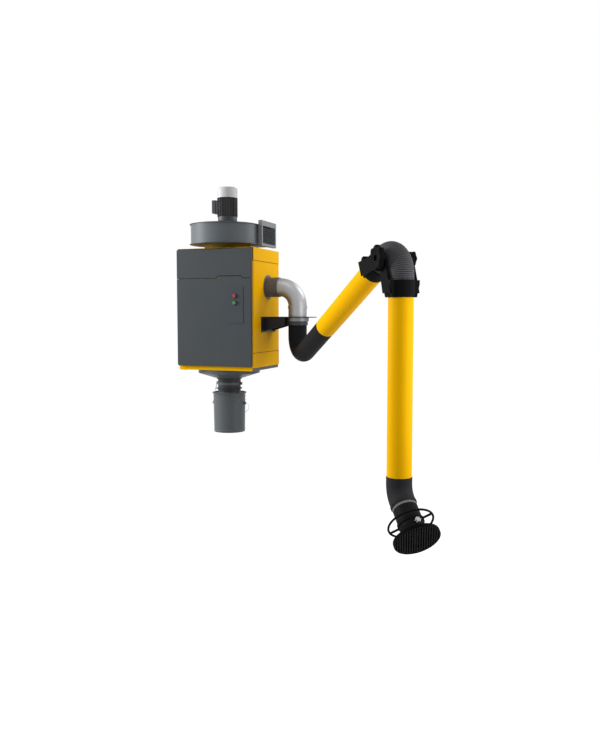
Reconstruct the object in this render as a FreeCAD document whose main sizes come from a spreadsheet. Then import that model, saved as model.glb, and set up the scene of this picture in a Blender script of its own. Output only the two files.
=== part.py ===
import FreeCAD, Part
import math
import os
import types

import Sketcher

# Wall-hung fume filtration unit with an extraction arm, in millimetres.
# The origin is the middle of the four wall bolts, on the wall. +Y points into the wall, +Z is up,
# and the door faces -Y.

SIZES = {
    # clearances
    "fit_gap": 0.3,
    "seat_gap": 0.2,
    "run_gap": 0.05,
    # wall frame
    "bolt_spacing_x": 620.0,
    "bolt_spacing_z": 800.0,
    "bolt_hole_radius": 6.5,
    "channel_width": 40.0,
    "channel_depth": 30.0,
    "channel_sheet": 4.0,
    "channel_overrun": 30.0,
    "rail_height": 30.0,
    "rail_length": 545.0,
    # casing
    "case_width": 710.0,
    "case_depth": 573.0,
    "case_height": 1000.0,
    "cap_height": 110.0,
    "tray_height": 125.0,
    "panel_sheet": 2.0,
    "case_corner": 14.0,
    "cap_edge": 10.0,
    "seam_step": 1.0,
    "front_flange": 45.0,
    "front_rail": 46.0,
    "skirt_height": 26.0,
    "skirt_inset": 15.0,
    # front door and cover
    "door_gap": 4.0,
    "door_thickness": 23.0,
    "door_margin": 10.0,
    "door_corner": 14.0,
    "door_edge": 5.0,
    "cover_drop": 257.0,
    "seam_gap": 3.0,
    "tab_margin": 85.0,
    "tab_width": 240.0,
    "tab_rise": 19.0,
    "tab_slope": 14.0,
    "hinge_inset": 8.0,
    "hinge_pin_radius": 4.0,
    "hinge_knuckle_height": 30.0,
    "hinge_leaf": 6.0,
    "hinge_upper_drop": 78.0,
    "hinge_lower_rise": 35.0,
    "gasket_width": 12.0,
    # control panel
    "panel_margin": 83.0,
    "panel_width": 154.0,
    "panel_height": 304.0,
    "panel_drop": 67.0,
    "panel_thickness": 3.0,
    "panel_corner": 9.0,
    "stop_drop": 76.0,
    "button_pitch": 58.0,
    "button_radius": 15.0,
    "button_rise": 14.0,
    "button_collar": 3.0,
    "button_stem": 12.0,
    "bezel_radius": 21.0,
    "bezel_height": 6.0,
    # filter
    "filter_y": -330.0,
    "sheet_plate": 3.0,
    "filter_radius": 163.0,
    "filter_bore": 100.0,
    "filter_foot": 188.0,
    "filter_ring_radius": 172.0,
    "filter_ring_height": 35.0,
    "filter_cap_height": 12.0,
    "filter_throat": 120.0,
    "tie_rod_radius": 6.0,
    "tie_nut_radius": 14.0,
    "tie_nut_height": 14.0,
    "bridge_width": 30.0,
    "bridge_height": 6.0,
    "baffle_offset": 80.0,
    "baffle_width": 250.0,
    "baffle_height": 190.0,
    "standoff_radius": 8.0,
    # pulse air
    "tank_radius": 60.0,
    "tank_length": 420.0,
    "tank_y": -130.0,
    "tank_rise": 92.0,
    "tank_foot": 40.0,
    "valve_radius": 38.0,
    "valve_length": 60.0,
    "valve_boss": 12.0,
    "nozzle_radius": 15.0,
    "nozzle_rise": 47.0,
    # dust side
    "hopper_radius": 268.0,
    "hopper_wall": 62.0,
    "hopper_drop": 113.0,
    "hopper_mouth": 105.0,
    "sleeve_radius": 99.5,
    "sleeve_sheet": 4.0,
    "sleeve_length": 114.0,
    "sleeve_flange": 109.0,
    "sleeve_lip": 113.0,
    "sleeve_lip_drop": 90.0,
    "sleeve_flange_height": 5.0,
    "clamp_drop": 44.0,
    "clamp_height": 22.0,
    "clamp_sheet": 5.0,
    "clamp_lug_reach": 122.0,
    "clamp_lug_width": 16.0,
    "lever_length": 66.0,
    "lever_thickness": 5.0,
    "lever_pin_radius": 3.0,
    # bucket
    "bucket_gap": 9.0,
    "bucket_height": 344.0,
    "bucket_top_radius": 140.0,
    "bucket_base_radius": 135.0,
    "bucket_sheet": 2.0,
    "rim_roll": 9.0,
    "bead_rise": 3.0,
    "bead_height": 9.0,
    "bead_upper_drop": 32.0,
    "bead_middle_drop": 68.0,
    "bead_lower_drop": 326.0,
    "lid_sheet": 2.0,
    "lid_flange": 147.0,
    "lid_spigot_rise": 40.0,
    "lid_dip": 16.0,
    "ear_drop": 92.0,
    "ear_radius": 13.0,
    "ear_reach": 17.0,
    "bail_wire_radius": 2.5,
    "bail_half_width": 172.0,
    "bail_corner": 11.0,
    "bail_rest_angle": 51.5,
    # fan
    "fan_x": 22.0,
    "fan_y": -390.0,
    "collar_radius": 197.5,
    "collar_height": 40.0,
    "collar_sheet": 6.0,
    "scroll_right": 262.0,
    "scroll_front": 285.0,
    "scroll_left": 322.0,
    "scroll_back": 332.0,
    "scroll_outlet_x": 278.0,
    "scroll_outlet_width": 300.0,
    "scroll_height": 170.0,
    "scroll_sheet": 3.0,
    "scroll_rim": 11.0,
    "fan_eye_radius": 150.0,
    "cone_radius": 122.0,
    "cone_flange": 172.0,
    "cone_rise": 30.0,
    "cone_sheet": 3.0,
    "impeller_radius": 205.0,
    "impeller_eye": 130.0,
    "impeller_width": 120.0,
    "impeller_hub": 30.0,
    "impeller_sheet": 3.0,
    "impeller_blades": 9,
    "blade_inner": 112.0,
    "blade_lean": 40.0,
    "grille_depth": 32.0,
    "grille_rim": 22.0,
    "grille_top_rise": 33.0,
    "louvre_count": 9,
    "louvre_sheet": 3.0,
    "louvre_tilt": 35.0,
    # motor
    "motor_flange_radius": 112.0,
    "motor_flange_plate": 16.0,
    "motor_flange_height": 67.0,
    "motor_neck_radius": 82.0,
    "motor_core_radius": 76.0,
    "motor_height": 158.0,
    "fin_radius": 87.0,
    "fin_sheet": 3.0,
    "fin_count": 32,
    "stator_bore": 47.0,
    "rotor_radius": 46.0,
    "rotor_height": 90.0,
    "shaft_radius": 14.0,
    "bearing_radius": 31.0,
    "bearing_height": 16.0,
    "terminal_seat": 92.0,
    "terminal_depth": 38.0,
    "terminal_width": 84.0,
    "terminal_height": 110.0,
    "cowl_radius": 86.0,
    "cowl_height": 95.0,
    "cowl_sheet": 2.0,
    "cowl_dome": 16.0,
    "cooling_radius": 76.0,
    "cooling_height": 34.0,
    "cooling_blades": 6,
    # inlet duct
    "inlet_y": -291.5,
    "inlet_drop": 66.0,
    "duct_radius": 78.0,
    "duct_sheet": 2.0,
    "duct_collar_radius": 84.0,
    "duct_collar_length": 110.0,
    "duct_collar_flange": 104.0,
    "duct_flange_sheet": 4.0,
    "duct_overlap": 65.0,
    "elbow_bend": 160.0,
    "swivel_reach": 270.5,
    "band_radius": 82.0,
    "band_height": 23.0,
    "band_rise": 68.5,
    # arm bracket
    "bracket_drop": 251.5,
    "bracket_plate": 7.5,
    "bracket_height": 131.5,
    "bracket_width": 312.0,
    "bracket_back": 6.0,
    "bracket_root_width": 236.0,
    "bracket_neck_width": 216.0,
    "bracket_tip": 154.5,
    "bracket_tip_width": 96.0,
    "gusset_sheet": 6.0,
    "gusset_tip": 60.0,
    "gusset_root": 115.0,
    "gusset_length": 189.0,
    "gusset_spacing": 206.0,
    # swivel
    "swivel_outer": 96.0,
    "swivel_housing_height": 30.0,
    "swivel_flange": 90.0,
    "swivel_flange_height": 8.0,
    "swivel_journal": 84.0,
    "swivel_lip_height": 11.0,
    "swivel_ring_radius": 88.0,
    "swivel_ring_height": 34.0,
    "swivel_bore": 72.0,
    "spigot_length": 68.0,
    # arm
    "arm_yaw": 41.45,
    "inner_rise": 25.83,
    "base_drop": 303.0,
    "base_bend": 131.0,
    "arm_reach": 1804.5,
    "tube_radius": 81.0,
    "tube_sheet": 2.0,
    "inner_tube_start": 683.0,
    "inner_setback": 428.0,
    "outer_setback": 368.0,
    "outer_length": 1152.5,
    "hose_radius": 78.7,
    "hose_sheet": 2.8,
    "hose_tuck": 60.0,
    "pivot_plate": 6.0,
    "pivot_spread": 14.0,
    "pivot_height": 40.0,
    "pivot_pin_radius": 7.0,
    "fork_overrun": 57.0,
    "spider_sheet": 6.0,
    # elbow
    "elbow_offset": 75.0,
    "elbow_hose_bend": 165.0,
    "elbow_hose_crest": 83.0,
    "elbow_hose_root": 80.8,
    "elbow_hose_bore": 77.5,
    "elbow_rib_pitch": 9.0,
    "knuckle_radius": 86.0,
    "knuckle_mouth_radius": 90.0,
    "knuckle_length": 108.0,
    "knuckle_seat": 26.0,
    "ear_sheet": 11.5,
    "ear_clear": 93.0,
    "ear_boss_radius": 46.0,
    "ear_root_width": 104.0,
    "elbow_bolt_radius": 8.0,
    "elbow_head_radius": 17.0,
    "elbow_head_height": 10.0,
    # hood
    "hood_drop": 101.5,
    "hood_tilt": 50.1,
    "hood_heading": -52.9,
    "hood_hose_radius": 84.3,
    "hood_hose_bend": 136.0,
    "hood_hose_lap": 8.0,
    "hood_hose_end": 88.0,
    "hood_collar_rise": 40.0,
    "hood_collar_drop": 36.0,
    "hood_neck_radius": 81.0,
    "hood_neck_sheet": 3.0,
    "hood_ring_radius": 87.0,
    "hood_ring_height": 12.0,
    "hood_spigot": 23.0,
    "hood_web_bite": 0.5,
    "hood_neck_end": 292.0,
    "hood_cone_end": 339.0,
    "hood_cone_radius": 100.0,
    "hood_disc_radius": 151.0,
    "hood_disc_height": 20.0,
    "hood_disc_sheet": 4.0,
    "hood_rim_width": 6.0,
    "hood_fins": 48,
    "hood_fin_sheet": 4.0,
    "handle_reach": 236.0,
    "handle_turn": 38.5,
    "handle_radius": 146.0,
    "handle_grip": 7.0,
    "handle_collar": 6.0,
    "handle_collar_height": 22.0,
    "spoke_width": 16.0,
    "spoke_sheet": 8.0,
    "damper_reach": 274.5,
    "damper_heading": -3.0,
    "damper_sheet": 2.0,
    "damper_shaft_radius": 4.0,
    "damper_gap": 3.0,
    "knob_radius": 19.0,
    "knob_height": 16.0,
    "knob_points": 6,
}


class Size:
    """A number together with the sheet formula that works it out."""

    def __init__(self, value, formula=None):
        self.value = float(value)
        self.formula = formula or f"({float(value)})"

    def join(self, sign, other, value):
        return Size(value, f"({self.formula} {sign} {other.formula})")

    def __add__(self, other):
        other = as_size(other)
        return self.join("+", other, self.value + other.value)

    def __sub__(self, other):
        other = as_size(other)
        return self.join("-", other, self.value - other.value)

    def __mul__(self, other):
        other = as_size(other)
        return self.join("*", other, self.value * other.value)

    def __truediv__(self, other):
        other = as_size(other)
        return self.join("/", other, self.value / other.value)

    def __neg__(self):
        return as_size(0) - self

    def __radd__(self, other):
        return as_size(other) + self

    def __rsub__(self, other):
        return as_size(other) - self

    def __rmul__(self, other):
        return as_size(other) * self

    def __float__(self):
        return self.value


def as_size(number):
    return number if isinstance(number, Size) else Size(number)


doc = FreeCAD.newDocument("fume_filtration_unit")
sheet = doc.addObject("Spreadsheet::Sheet", "Sizes")
for row, (alias, number) in enumerate(SIZES.items(), start=1):
    sheet.set(f"A{row}", alias)
    sheet.set(f"B{row}", str(number))
    sheet.setAlias(f"B{row}", alias)
doc.recompute()
size = types.SimpleNamespace(**{name: Size(number, f"Sizes.{name}") for name, number in SIZES.items()})
count = types.SimpleNamespace(**{name: int(number) for name, number in SIZES.items()})

PARTS = []
TURNS = {
    "x": FreeCAD.Rotation(FreeCAD.Vector(0, 1, 0), 90),
    "y": FreeCAD.Rotation(FreeCAD.Vector(1, 0, 0), -90),
    "z": FreeCAD.Rotation(),
}


def bind(thing, path, number):
    thing.setExpression(path, as_size(number).formula)


def vector(x, y, z):
    return FreeCAD.Vector(float(x), float(y), float(z))


def sub_part(label, thing, placement=None):
    """Name a finished piece and put it in its place."""
    thing.Label = label
    if placement is not None:
        thing.Placement = placement
    PARTS.append(thing)
    return thing


def box(x, y, z):
    """A block between two corners; each argument is a (low, high) pair."""
    piece = doc.addObject("Part::Box", "block")
    for path, letter, (low, high) in zip(("Length", "Width", "Height"), "xyz", (x, y, z)):
        bind(piece, path, high - low)
        bind(piece, f"Placement.Base.{letter}", low)
    return piece


def rod(axis, radius, span, centre):
    """A round bar along an axis; centre gives the other two coordinates."""
    piece = doc.addObject("Part::Cylinder", "rod")
    piece.Placement = FreeCAD.Placement(FreeCAD.Vector(), TURNS[axis])
    bind(piece, "Radius", radius)
    bind(piece, "Height", span[1] - span[0])
    place = list(centre)
    place.insert("xyz".index(axis), span[0])
    for letter, number in zip("xyz", place):
        bind(piece, f"Placement.Base.{letter}", number)
    return piece


def fuse(*pieces):
    result = doc.addObject("Part::MultiFuse", "join")
    result.Shapes = list(pieces)
    return result


def cut(base, *tools):
    result = doc.addObject("Part::Cut", "cut")
    result.Base = base
    result.Tool = tools[0] if len(tools) == 1 else fuse(*tools)
    return result


def outline(body, plane, points):
    """A closed outline of straight lines; every corner is bound to the sheet."""
    sketch = body.newObject("Sketcher::SketchObject", "outline")
    support = [item for item in body.Origin.OriginFeatures if item.Role == plane][0]
    sketch.AttachmentSupport = (support, "")
    sketch.MapMode = "FlatFace"
    corners = [vector(a, b, 0) for a, b in points]
    following = corners[1:] + corners[:1]
    for start, end in zip(corners, following):
        sketch.addGeometry(Part.LineSegment(start, end))
    for index in range(len(corners)):
        after = (index + 1) % len(corners)
        sketch.addConstraint(Sketcher.Constraint("Coincident", index, 2, after, 1))
    for index, pair in enumerate(points):
        for kind, number in zip(("DistanceX", "DistanceY"), pair):
            place = sketch.addConstraint(Sketcher.Constraint(kind, -1, 1, index, 1, float(number)))
            bind(sketch, f"Constraints[{place}]", number)
    return sketch


def turned(points):
    """A piece turned about Z from an outline of (radius, height) corners."""
    body = doc.addObject("PartDesign::Body", "turned")
    sketch = outline(body, "XZ_Plane", points)
    spin = body.newObject("PartDesign::Revolution", "spin")
    spin.Profile = sketch
    spin.ReferenceAxis = (sketch, ["V_Axis"])
    spin.Angle = 360.0
    return body


def plate(plane, points, span):
    """A flat piece: an outline, thick between two places along the plane's own axis."""
    body = doc.addObject("PartDesign::Body", "plate")
    sketch = outline(body, plane, points)
    start = -span[1] if plane == "XZ_Plane" else span[0]
    bind(sketch, "AttachmentOffset.Base.z", start)
    pad = body.newObject("PartDesign::Pad", "thick")
    pad.Profile = sketch
    bind(pad, "Length", span[1] - span[0])
    return body


def soften(body, radius, chosen):
    """Round the edges of a body that the test picks out."""
    doc.recompute()
    base = body.Tip
    edges = [f"Edge{place}" for place, edge in enumerate(base.Shape.Edges, start=1) if chosen(edge)]
    rounding = body.newObject("PartDesign::Fillet", "rounding")
    rounding.Base = (base, edges)
    bind(rounding, "Radius", radius)
    return body


def runs_along(axis):
    def test(edge):
        low, high = edge.Vertexes[0].Point, edge.Vertexes[-1].Point
        step = high - low
        return len(edge.Vertexes) == 2 and abs(abs(getattr(step, axis)) - step.Length) < 1e-6
    return test


def lies_at(axis, place):
    def test(edge):
        bounds = edge.BoundBox
        low = getattr(bounds, axis.upper() + "Min")
        high = getattr(bounds, axis.upper() + "Max")
        return abs(low - float(place)) < 1e-3 and abs(high - float(place)) < 1e-3
    return test


def rounded_block(x, y, z, corner, top=None):
    """A block with rounded upright edges and, if asked, a rounded top."""
    points = [(x[0], y[0]), (x[1], y[0]), (x[1], y[1]), (x[0], y[1])]
    body = plate("XY_Plane", points, z)
    soften(body, corner, runs_along("z"))
    if top is not None:
        soften(body, top, lies_at("z", z[1]))
    return body


def ring(inner, outer, span, centre=(0, 0)):
    return cut(rod("z", outer, span, centre), rod("z", inner, (span[0] - 1, span[1] + 1), centre))


def around(places):
    """Angles in degrees of a number of copies spaced evenly round a circle."""
    return [360.0 * place / places for place in range(places)]


def moved(piece, placement):
    """The same piece in another place; the first one can be used for many copies."""
    copy = doc.addObject("Part::Compound", "copy")
    copy.Links = [piece]
    copy.Placement = placement
    return copy


def turned_about_z(angle):
    return FreeCAD.Rotation(FreeCAD.Vector(0, 0, 1), float(angle))


def spun(piece, places):
    """Copies of a piece spaced evenly round the Z axis."""
    return [moved(piece, FreeCAD.Placement(FreeCAD.Vector(),
            turned_about_z(angle))) for angle in around(places)]


def path_wire(points, radii):
    """Straight runs joined by tangent arcs, as one wire."""
    edges = []
    start = points[0]
    for before, corner, after, radius in zip(points, points[1:], points[2:], radii):
        inward = (before - corner).normalize()
        outward = (after - corner).normalize()
        half = inward.getAngle(outward) / 2
        reach = radius / math.tan(half)
        first = corner + inward * reach
        last = corner + outward * reach
        middle = (inward + outward).normalize()
        summit = corner + middle * (radius / math.sin(half) - radius)
        edges.append(Part.LineSegment(start, first).toShape())
        edges.append(Part.Arc(first, summit, last).toShape())
        start = last
    edges.append(Part.LineSegment(start, points[-1]).toShape())
    return Part.Wire(edges)


def round_sweep(path, radius):
    """A solid round bar along a wire."""
    first = path.OrderedEdges[0]
    start = first.valueAt(first.FirstParameter)
    along = first.tangentAt(first.FirstParameter)
    circle = Part.Wire([Part.makeCircle(radius, start, along)])
    return path.makePipeShell([circle], True, False)


# Levels and planes shared by the cabinet's pieces
base_z = -size.case_height / 2
top_z = size.case_height / 2
cap_z = top_z - size.cap_height
tray_z = base_z + size.tray_height
half_w = size.case_width / 2
back_y = -size.channel_depth
front_y = back_y - size.case_depth
door_back = front_y - size.door_gap
door_front = door_back - size.door_thickness
seam_z = top_z - size.cover_drop
filter_at = (as_size(0), size.filter_y)
fan_at = (size.fan_x, size.fan_y)
tab_right = half_w - size.tab_margin
tab_left = tab_right - size.tab_width
panel_right = half_w - size.panel_margin
panel_left = panel_right - size.panel_width
panel_top = seam_z - size.panel_drop
panel_bottom = panel_top - size.panel_height
button_x = (panel_left + panel_right) / 2
stop_z = panel_top - size.stop_drop
start_z = stop_z - size.button_pitch
hinge_heights = (seam_z - size.hinge_upper_drop, tray_z + size.hinge_lower_rise)
mouth_z = base_z - size.hopper_drop
sleeve_end = mouth_z - size.sleeve_length
rim_z = sleeve_end - size.bucket_gap
clamp_z = mouth_z - size.clamp_drop
tank_z = seam_z + size.tank_rise
inlet_z = seam_z - size.inlet_drop
swivel_x = half_w + size.swivel_reach
bracket_z = inlet_z - size.bracket_drop


def wall_frame():
    """Two channels on the wall with rails under the cabinet and two cross bars, welded together."""
    bars = []
    hollows = []
    low_z = base_z - size.rail_height
    high_z = size.bolt_spacing_z / 2 + size.channel_overrun
    rail_y = back_y - size.rail_length
    for side in (-1, 1):
        middle = side * size.bolt_spacing_x / 2
        wide = (middle - size.channel_width / 2, middle + size.channel_width / 2)
        narrow = (wide[0] + size.channel_sheet, wide[1] - size.channel_sheet)
        bars.append(box(wide, (back_y, as_size(0)), (low_z, high_z)))
        bars.append(box(wide, (rail_y, as_size(0)), (low_z, base_z)))
        hollows.append(box(narrow, (back_y - 1, -size.channel_sheet), (base_z, high_z + 1)))
        hollows.append(box(narrow, (rail_y + size.channel_sheet, back_y - size.channel_sheet),
                           (low_z - 1, base_z - size.channel_sheet)))
        for bolt_z in (-size.bolt_spacing_z / 2, size.bolt_spacing_z / 2):
            hollows.append(rod("y", size.bolt_hole_radius, (-size.channel_depth, as_size(1)),
                    (middle, bolt_z)))
    cross = (-size.bolt_spacing_x / 2 + size.channel_width / 4,
            size.bolt_spacing_x / 2 - size.channel_width / 4)
    for middle_z in (-size.bolt_spacing_z / 4, size.bolt_spacing_z / 4):
        high = (middle_z - size.channel_width / 2, middle_z + size.channel_width / 2)
        bars.append(box(cross, (-size.channel_sheet, as_size(0)), high))
    sub_part("wall_frame", cut(fuse(*bars), *hollows))


def casing_blocks(z_out, z_in, step, top=None):
    """The outer and inner blocks of one casing shell."""
    sheet_in = step + size.panel_sheet
    outer = rounded_block((-half_w + step, half_w - step), (front_y + step, back_y - step), z_out,
                          size.case_corner, top)
    inner_top = None if top is None else top - size.panel_sheet
    inner = rounded_block((-half_w + sheet_in, half_w - sheet_in), (front_y + sheet_in, back_y - sheet_in),
                          z_in, size.case_corner - size.panel_sheet, inner_top)
    return outer, inner


def casing():
    """Top cap, middle wrap and bottom tray; the wrap is set back a little so the seams show."""
    outer, inner = casing_blocks((cap_z, top_z), (cap_z - 1, top_z - size.panel_sheet), as_size(0),
            size.cap_edge)
    eye = rod("z", size.fan_eye_radius, (cap_z, top_z + 1), fan_at)
    sub_part("top_cap", cut(outer, inner, eye))

    outer, inner = casing_blocks((tray_z, cap_z), (tray_z - 1, cap_z + 1), size.seam_step)
    opening = (-half_w + size.front_flange, half_w - size.front_flange)
    deep = (front_y - 1, front_y + size.front_flange)
    lower = box(opening, deep, (tray_z - 1, seam_z - size.front_rail))
    upper = box(opening, deep, (seam_z + size.seam_gap, cap_z + 1))
    port = rod("x", size.duct_radius, (half_w - size.front_flange, half_w + 1), (size.inlet_y, inlet_z))
    sub_part("casing_wrap", cut(outer, inner, lower, upper, port))

    outer, inner = casing_blocks((base_z, tray_z), (base_z + size.panel_sheet, tray_z + 1), as_size(0))
    drop = rod("z", size.hopper_radius - size.skirt_inset, (base_z - 1, tray_z), filter_at)
    skirt_x = (-half_w + size.skirt_inset, half_w - size.skirt_inset)
    skirt_y = (front_y, front_y + size.panel_sheet)
    skirt = box(skirt_x, skirt_y, (base_z - size.skirt_height, base_z + size.panel_sheet))
    sub_part("bottom_tray", cut(fuse(outer, skirt), inner, drop))


def front_outline(inset):
    """Corners of the upper cover and of the door, drawn in by the inset."""
    left = -half_w + size.door_margin + inset
    right = half_w - size.door_margin - inset
    door_top = seam_z - inset
    cover_base = seam_z + size.seam_gap + inset
    tab = [
        (tab_right - inset, tab_right - size.tab_slope - inset),
        (tab_left + inset, tab_left + size.tab_slope + inset),
    ]
    notch = [
        (tab_left - inset, tab_left + size.tab_slope - inset),
        (tab_right + inset, tab_right - size.tab_slope + inset),
    ]
    low_z = base_z + size.door_margin + inset
    high_z = top_z - size.door_margin - inset
    door = [
        (left, low_z), (right, low_z), (right, door_top),
        (tab[0][0], door_top), (tab[0][1], door_top + size.tab_rise),
        (tab[1][1], door_top + size.tab_rise), (tab[1][0], door_top), (left, door_top),
    ]
    cover = [
        (left, cover_base), (notch[0][0], cover_base), (notch[0][1], cover_base + size.tab_rise),
        (notch[1][1], cover_base + size.tab_rise), (notch[1][0], cover_base), (right, cover_base),
        (right, high_z), (left, high_z),
    ]
    return door, cover


def front_shell(outer_points, inner_points, back, corner_z):
    """A folded front panel: a skin with a rim turned back all round."""
    def outer_corner(edge):
        return runs_along("y")(edge) and abs(edge.Vertexes[0].Z - float(corner_z[0])) < 1e-3

    def inner_corner(edge):
        return runs_along("y")(edge) and abs(edge.Vertexes[0].Z - float(corner_z[1])) < 1e-3

    shell = plate("XZ_Plane", outer_points, (door_front, back))
    soften(shell, size.door_corner, outer_corner)
    soften(shell, size.door_edge, lies_at("y", door_front))
    hollow = plate("XZ_Plane", inner_points, (door_front + size.panel_sheet, back + 1))
    soften(hollow, size.door_corner - size.panel_sheet, inner_corner)
    return shell, hollow


hinge_x = -half_w + size.door_margin + size.hinge_inset
hinge_y = door_back - size.hinge_inset


def front_panels():
    """The fixed upper cover and the hinged door below it."""
    door_out, cover_out = front_outline(as_size(0))
    door_in, cover_in = front_outline(size.panel_sheet)
    high = (top_z - size.door_margin, top_z - size.door_margin - size.panel_sheet)
    shell, hollow = front_shell(cover_out, cover_in, front_y, high)
    sub_part("upper_front_cover", cut(shell, hollow))

    low = (base_z + size.door_margin, base_z + size.door_margin + size.panel_sheet)
    shell, hollow = front_shell(door_out, door_in, door_back, low)
    blocks = []
    holes = []
    left = hinge_x - size.hinge_inset
    for middle_z in hinge_heights:
        half = size.hinge_knuckle_height / 2
        reach = half + size.hinge_leaf + size.seam_gap
        blocks.append(box((hinge_x - size.hinge_inset + size.panel_sheet, hinge_x + size.hinge_inset),
                          (door_front + size.panel_sheet, door_back), (middle_z - half, middle_z + half)))
        holes.append(rod("z", size.hinge_pin_radius + size.run_gap,
                         (middle_z - reach, middle_z + reach), (hinge_x, hinge_y)))
        for low_z, high_z in ((middle_z - reach, middle_z - half), (middle_z + half, middle_z + reach)):
            holes.append(box((left - 1, left + size.hinge_inset),
                    (door_front + size.door_edge, door_back + 1),
                             (low_z, high_z)))
    for middle_z in (stop_z, start_z):
        holes.append(rod("y", size.button_radius + size.fit_gap,
                         (door_front - 1, door_front + size.door_edge), (button_x, middle_z)))
    sub_part("front_door", cut(fuse(cut(shell, hollow), *blocks), *holes))


def hinge_pins():
    """Two pins held above and below the door's knuckles by leaves welded to the casing front."""
    pieces = []
    for middle_z in hinge_heights:
        half = size.hinge_knuckle_height / 2
        inner = half + size.fit_gap
        outer = inner + size.hinge_leaf
        wide = (hinge_x - size.hinge_pin_radius, hinge_x + size.hinge_pin_radius)
        deep = (hinge_y - size.hinge_pin_radius, front_y + size.seam_step)
        pieces.append(box(wide, deep, (middle_z - outer, middle_z - inner)))
        pieces.append(box(wide, deep, (middle_z + inner, middle_z + outer)))
        pieces.append(rod("z", size.hinge_pin_radius, (middle_z - outer, middle_z + outer),
                (hinge_x, hinge_y)))
    sub_part("hinge_pins", fuse(*pieces))


def door_gasket():
    """Foam bead on the inside of the door, just in front of the casing's front flange."""
    reach = half_w - size.front_flange
    deep = (door_front + size.panel_sheet, front_y - size.fit_gap)
    high = (tray_z - size.gasket_width, seam_z - size.front_rail + size.gasket_width)
    frame = box((-reach - size.gasket_width, reach + size.gasket_width), deep, high)
    window = box((-reach, reach), (deep[0] - 1, deep[1] + 1), (tray_z, seam_z - size.front_rail))
    sub_part("door_gasket", cut(frame, window))


def control_panel():
    """Panel plate with the two button bezels."""
    face = door_front - size.panel_thickness
    points = [(panel_left, panel_bottom), (panel_right, panel_bottom),
              (panel_right, panel_top), (panel_left, panel_top)]
    board = plate("XZ_Plane", points, (face, door_front))
    soften(board, size.panel_corner, runs_along("y"))
    bezels = []
    holes = []
    for middle_z in (stop_z, start_z):
        centre = (button_x, middle_z)
        bezels.append(rod("y", size.bezel_radius, (face - size.bezel_height, door_front), centre))
        holes.append(rod("y", size.button_radius + size.fit_gap,
                         (face - size.bezel_height - 1, door_front + 1), centre))
    sub_part("control_panel", cut(fuse(board, *bezels), *holes))


def push_button(label, middle_z):
    """Button cap with a stem and a collar that keeps it behind the door skin."""
    face = door_front - size.panel_thickness - size.button_rise
    behind = door_front + size.panel_sheet + size.fit_gap
    centre = (button_x, middle_z)
    cap = rod("y", size.button_radius, (face, behind), centre)
    collar = rod("y", size.bezel_radius, (behind, behind + size.button_collar), centre)
    stem = rod("y", size.button_radius / 2, (behind, behind + size.button_stem), centre)
    sub_part(label, fuse(cap, collar, stem))


def filter_set():
    """Tube sheet and cartridge: pleated media between a top ring and a bottom cap, held by a tie rod."""
    clear = size.seam_step + size.panel_sheet + size.seat_gap
    plate_z = (seam_z - size.sheet_plate, seam_z)
    body = rounded_block((-half_w + clear, half_w - clear), (front_y + clear, back_y - clear), plate_z,
                         size.case_corner - size.panel_sheet)
    sub_part("tube_sheet", cut(body, rod("z", size.filter_throat, (plate_z[0] - 1, plate_z[1] + 1),
            filter_at)))

    ring_z = (plate_z[0] - size.filter_ring_height, plate_z[0])
    foot_z = base_z + size.filter_foot
    cap_span = (foot_z, foot_z + size.filter_cap_height)
    media_z = (cap_span[1], ring_z[0])
    sub_part("filter_top_ring", ring(size.filter_bore, size.filter_ring_radius, ring_z, filter_at))
    sub_part("filter_media", ring(size.filter_bore, size.filter_radius, media_z, filter_at))
    sub_part("filter_bottom_cap", ring(size.tie_rod_radius + size.seat_gap, size.filter_ring_radius,
                                       cap_span, filter_at))
    bridge = box((-size.filter_throat - size.bridge_width, size.filter_throat + size.bridge_width),
                 (size.filter_y - size.bridge_width / 2, size.filter_y + size.bridge_width / 2),
                 (seam_z, seam_z + size.bridge_height))
    bar = rod("z", size.tie_rod_radius, (cap_span[0] - size.tie_nut_height,
            seam_z + size.bridge_height), filter_at)
    nut = rod("z", size.tie_nut_radius, (cap_span[0] - size.tie_nut_height, cap_span[0]), filter_at)
    sub_part("tie_rod", fuse(bridge, bar, nut))


def inlet_baffle():
    """Plate on four standoffs that the dusty air strikes first."""
    wall_x = half_w - size.seam_step - size.panel_sheet - size.seat_gap
    plate_x = wall_x - size.baffle_offset
    middle_z = inlet_z - size.baffle_height / 4
    wide = size.baffle_width / 2
    tall = size.baffle_height / 2
    pieces = [box((plate_x - size.panel_sheet, plate_x), (size.inlet_y - wide, size.inlet_y + wide),
                  (middle_z - tall, middle_z + tall))]
    for side in (-1, 1):
        for level in (-1, 1):
            centre = (size.inlet_y + side * (wide - size.standoff_radius),
                      middle_z + level * (tall - size.standoff_radius))
            pieces.append(rod("x", size.standoff_radius, (plate_x, wall_x), centre))
    sub_part("inlet_baffle", fuse(*pieces))


def pulse_air():
    """Air tank on two feet, with the valve and nozzle that blow into the cartridge."""
    half = size.tank_length / 2
    vessel = rod("x", size.tank_radius, (-half, half), (size.tank_y, tank_z))
    valve_y = size.tank_y - size.tank_radius - size.valve_boss
    boss = rod("y", size.valve_radius - size.valve_boss, (valve_y, size.tank_y), (as_size(0), tank_z))
    feet = []
    for side in (-1, 1):
        middle = side * (half - size.tank_foot)
        feet.append(box((middle - size.tank_foot / 2, middle + size.tank_foot / 2),
                        (size.tank_y - size.tank_foot, size.tank_y + size.tank_foot), (seam_z, tank_z)))
    sub_part("air_tank", fuse(vessel, boss, *feet))
    head = rod("y", size.valve_radius, (valve_y - size.valve_length, valve_y), (as_size(0), tank_z))
    pipe = rod("y", size.nozzle_radius, (size.filter_y, valve_y), (as_size(0), tank_z))
    spout = rod("z", size.nozzle_radius, (seam_z + size.nozzle_rise, tank_z), filter_at)
    sub_part("pulse_valve", fuse(head, pipe, spout))


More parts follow.
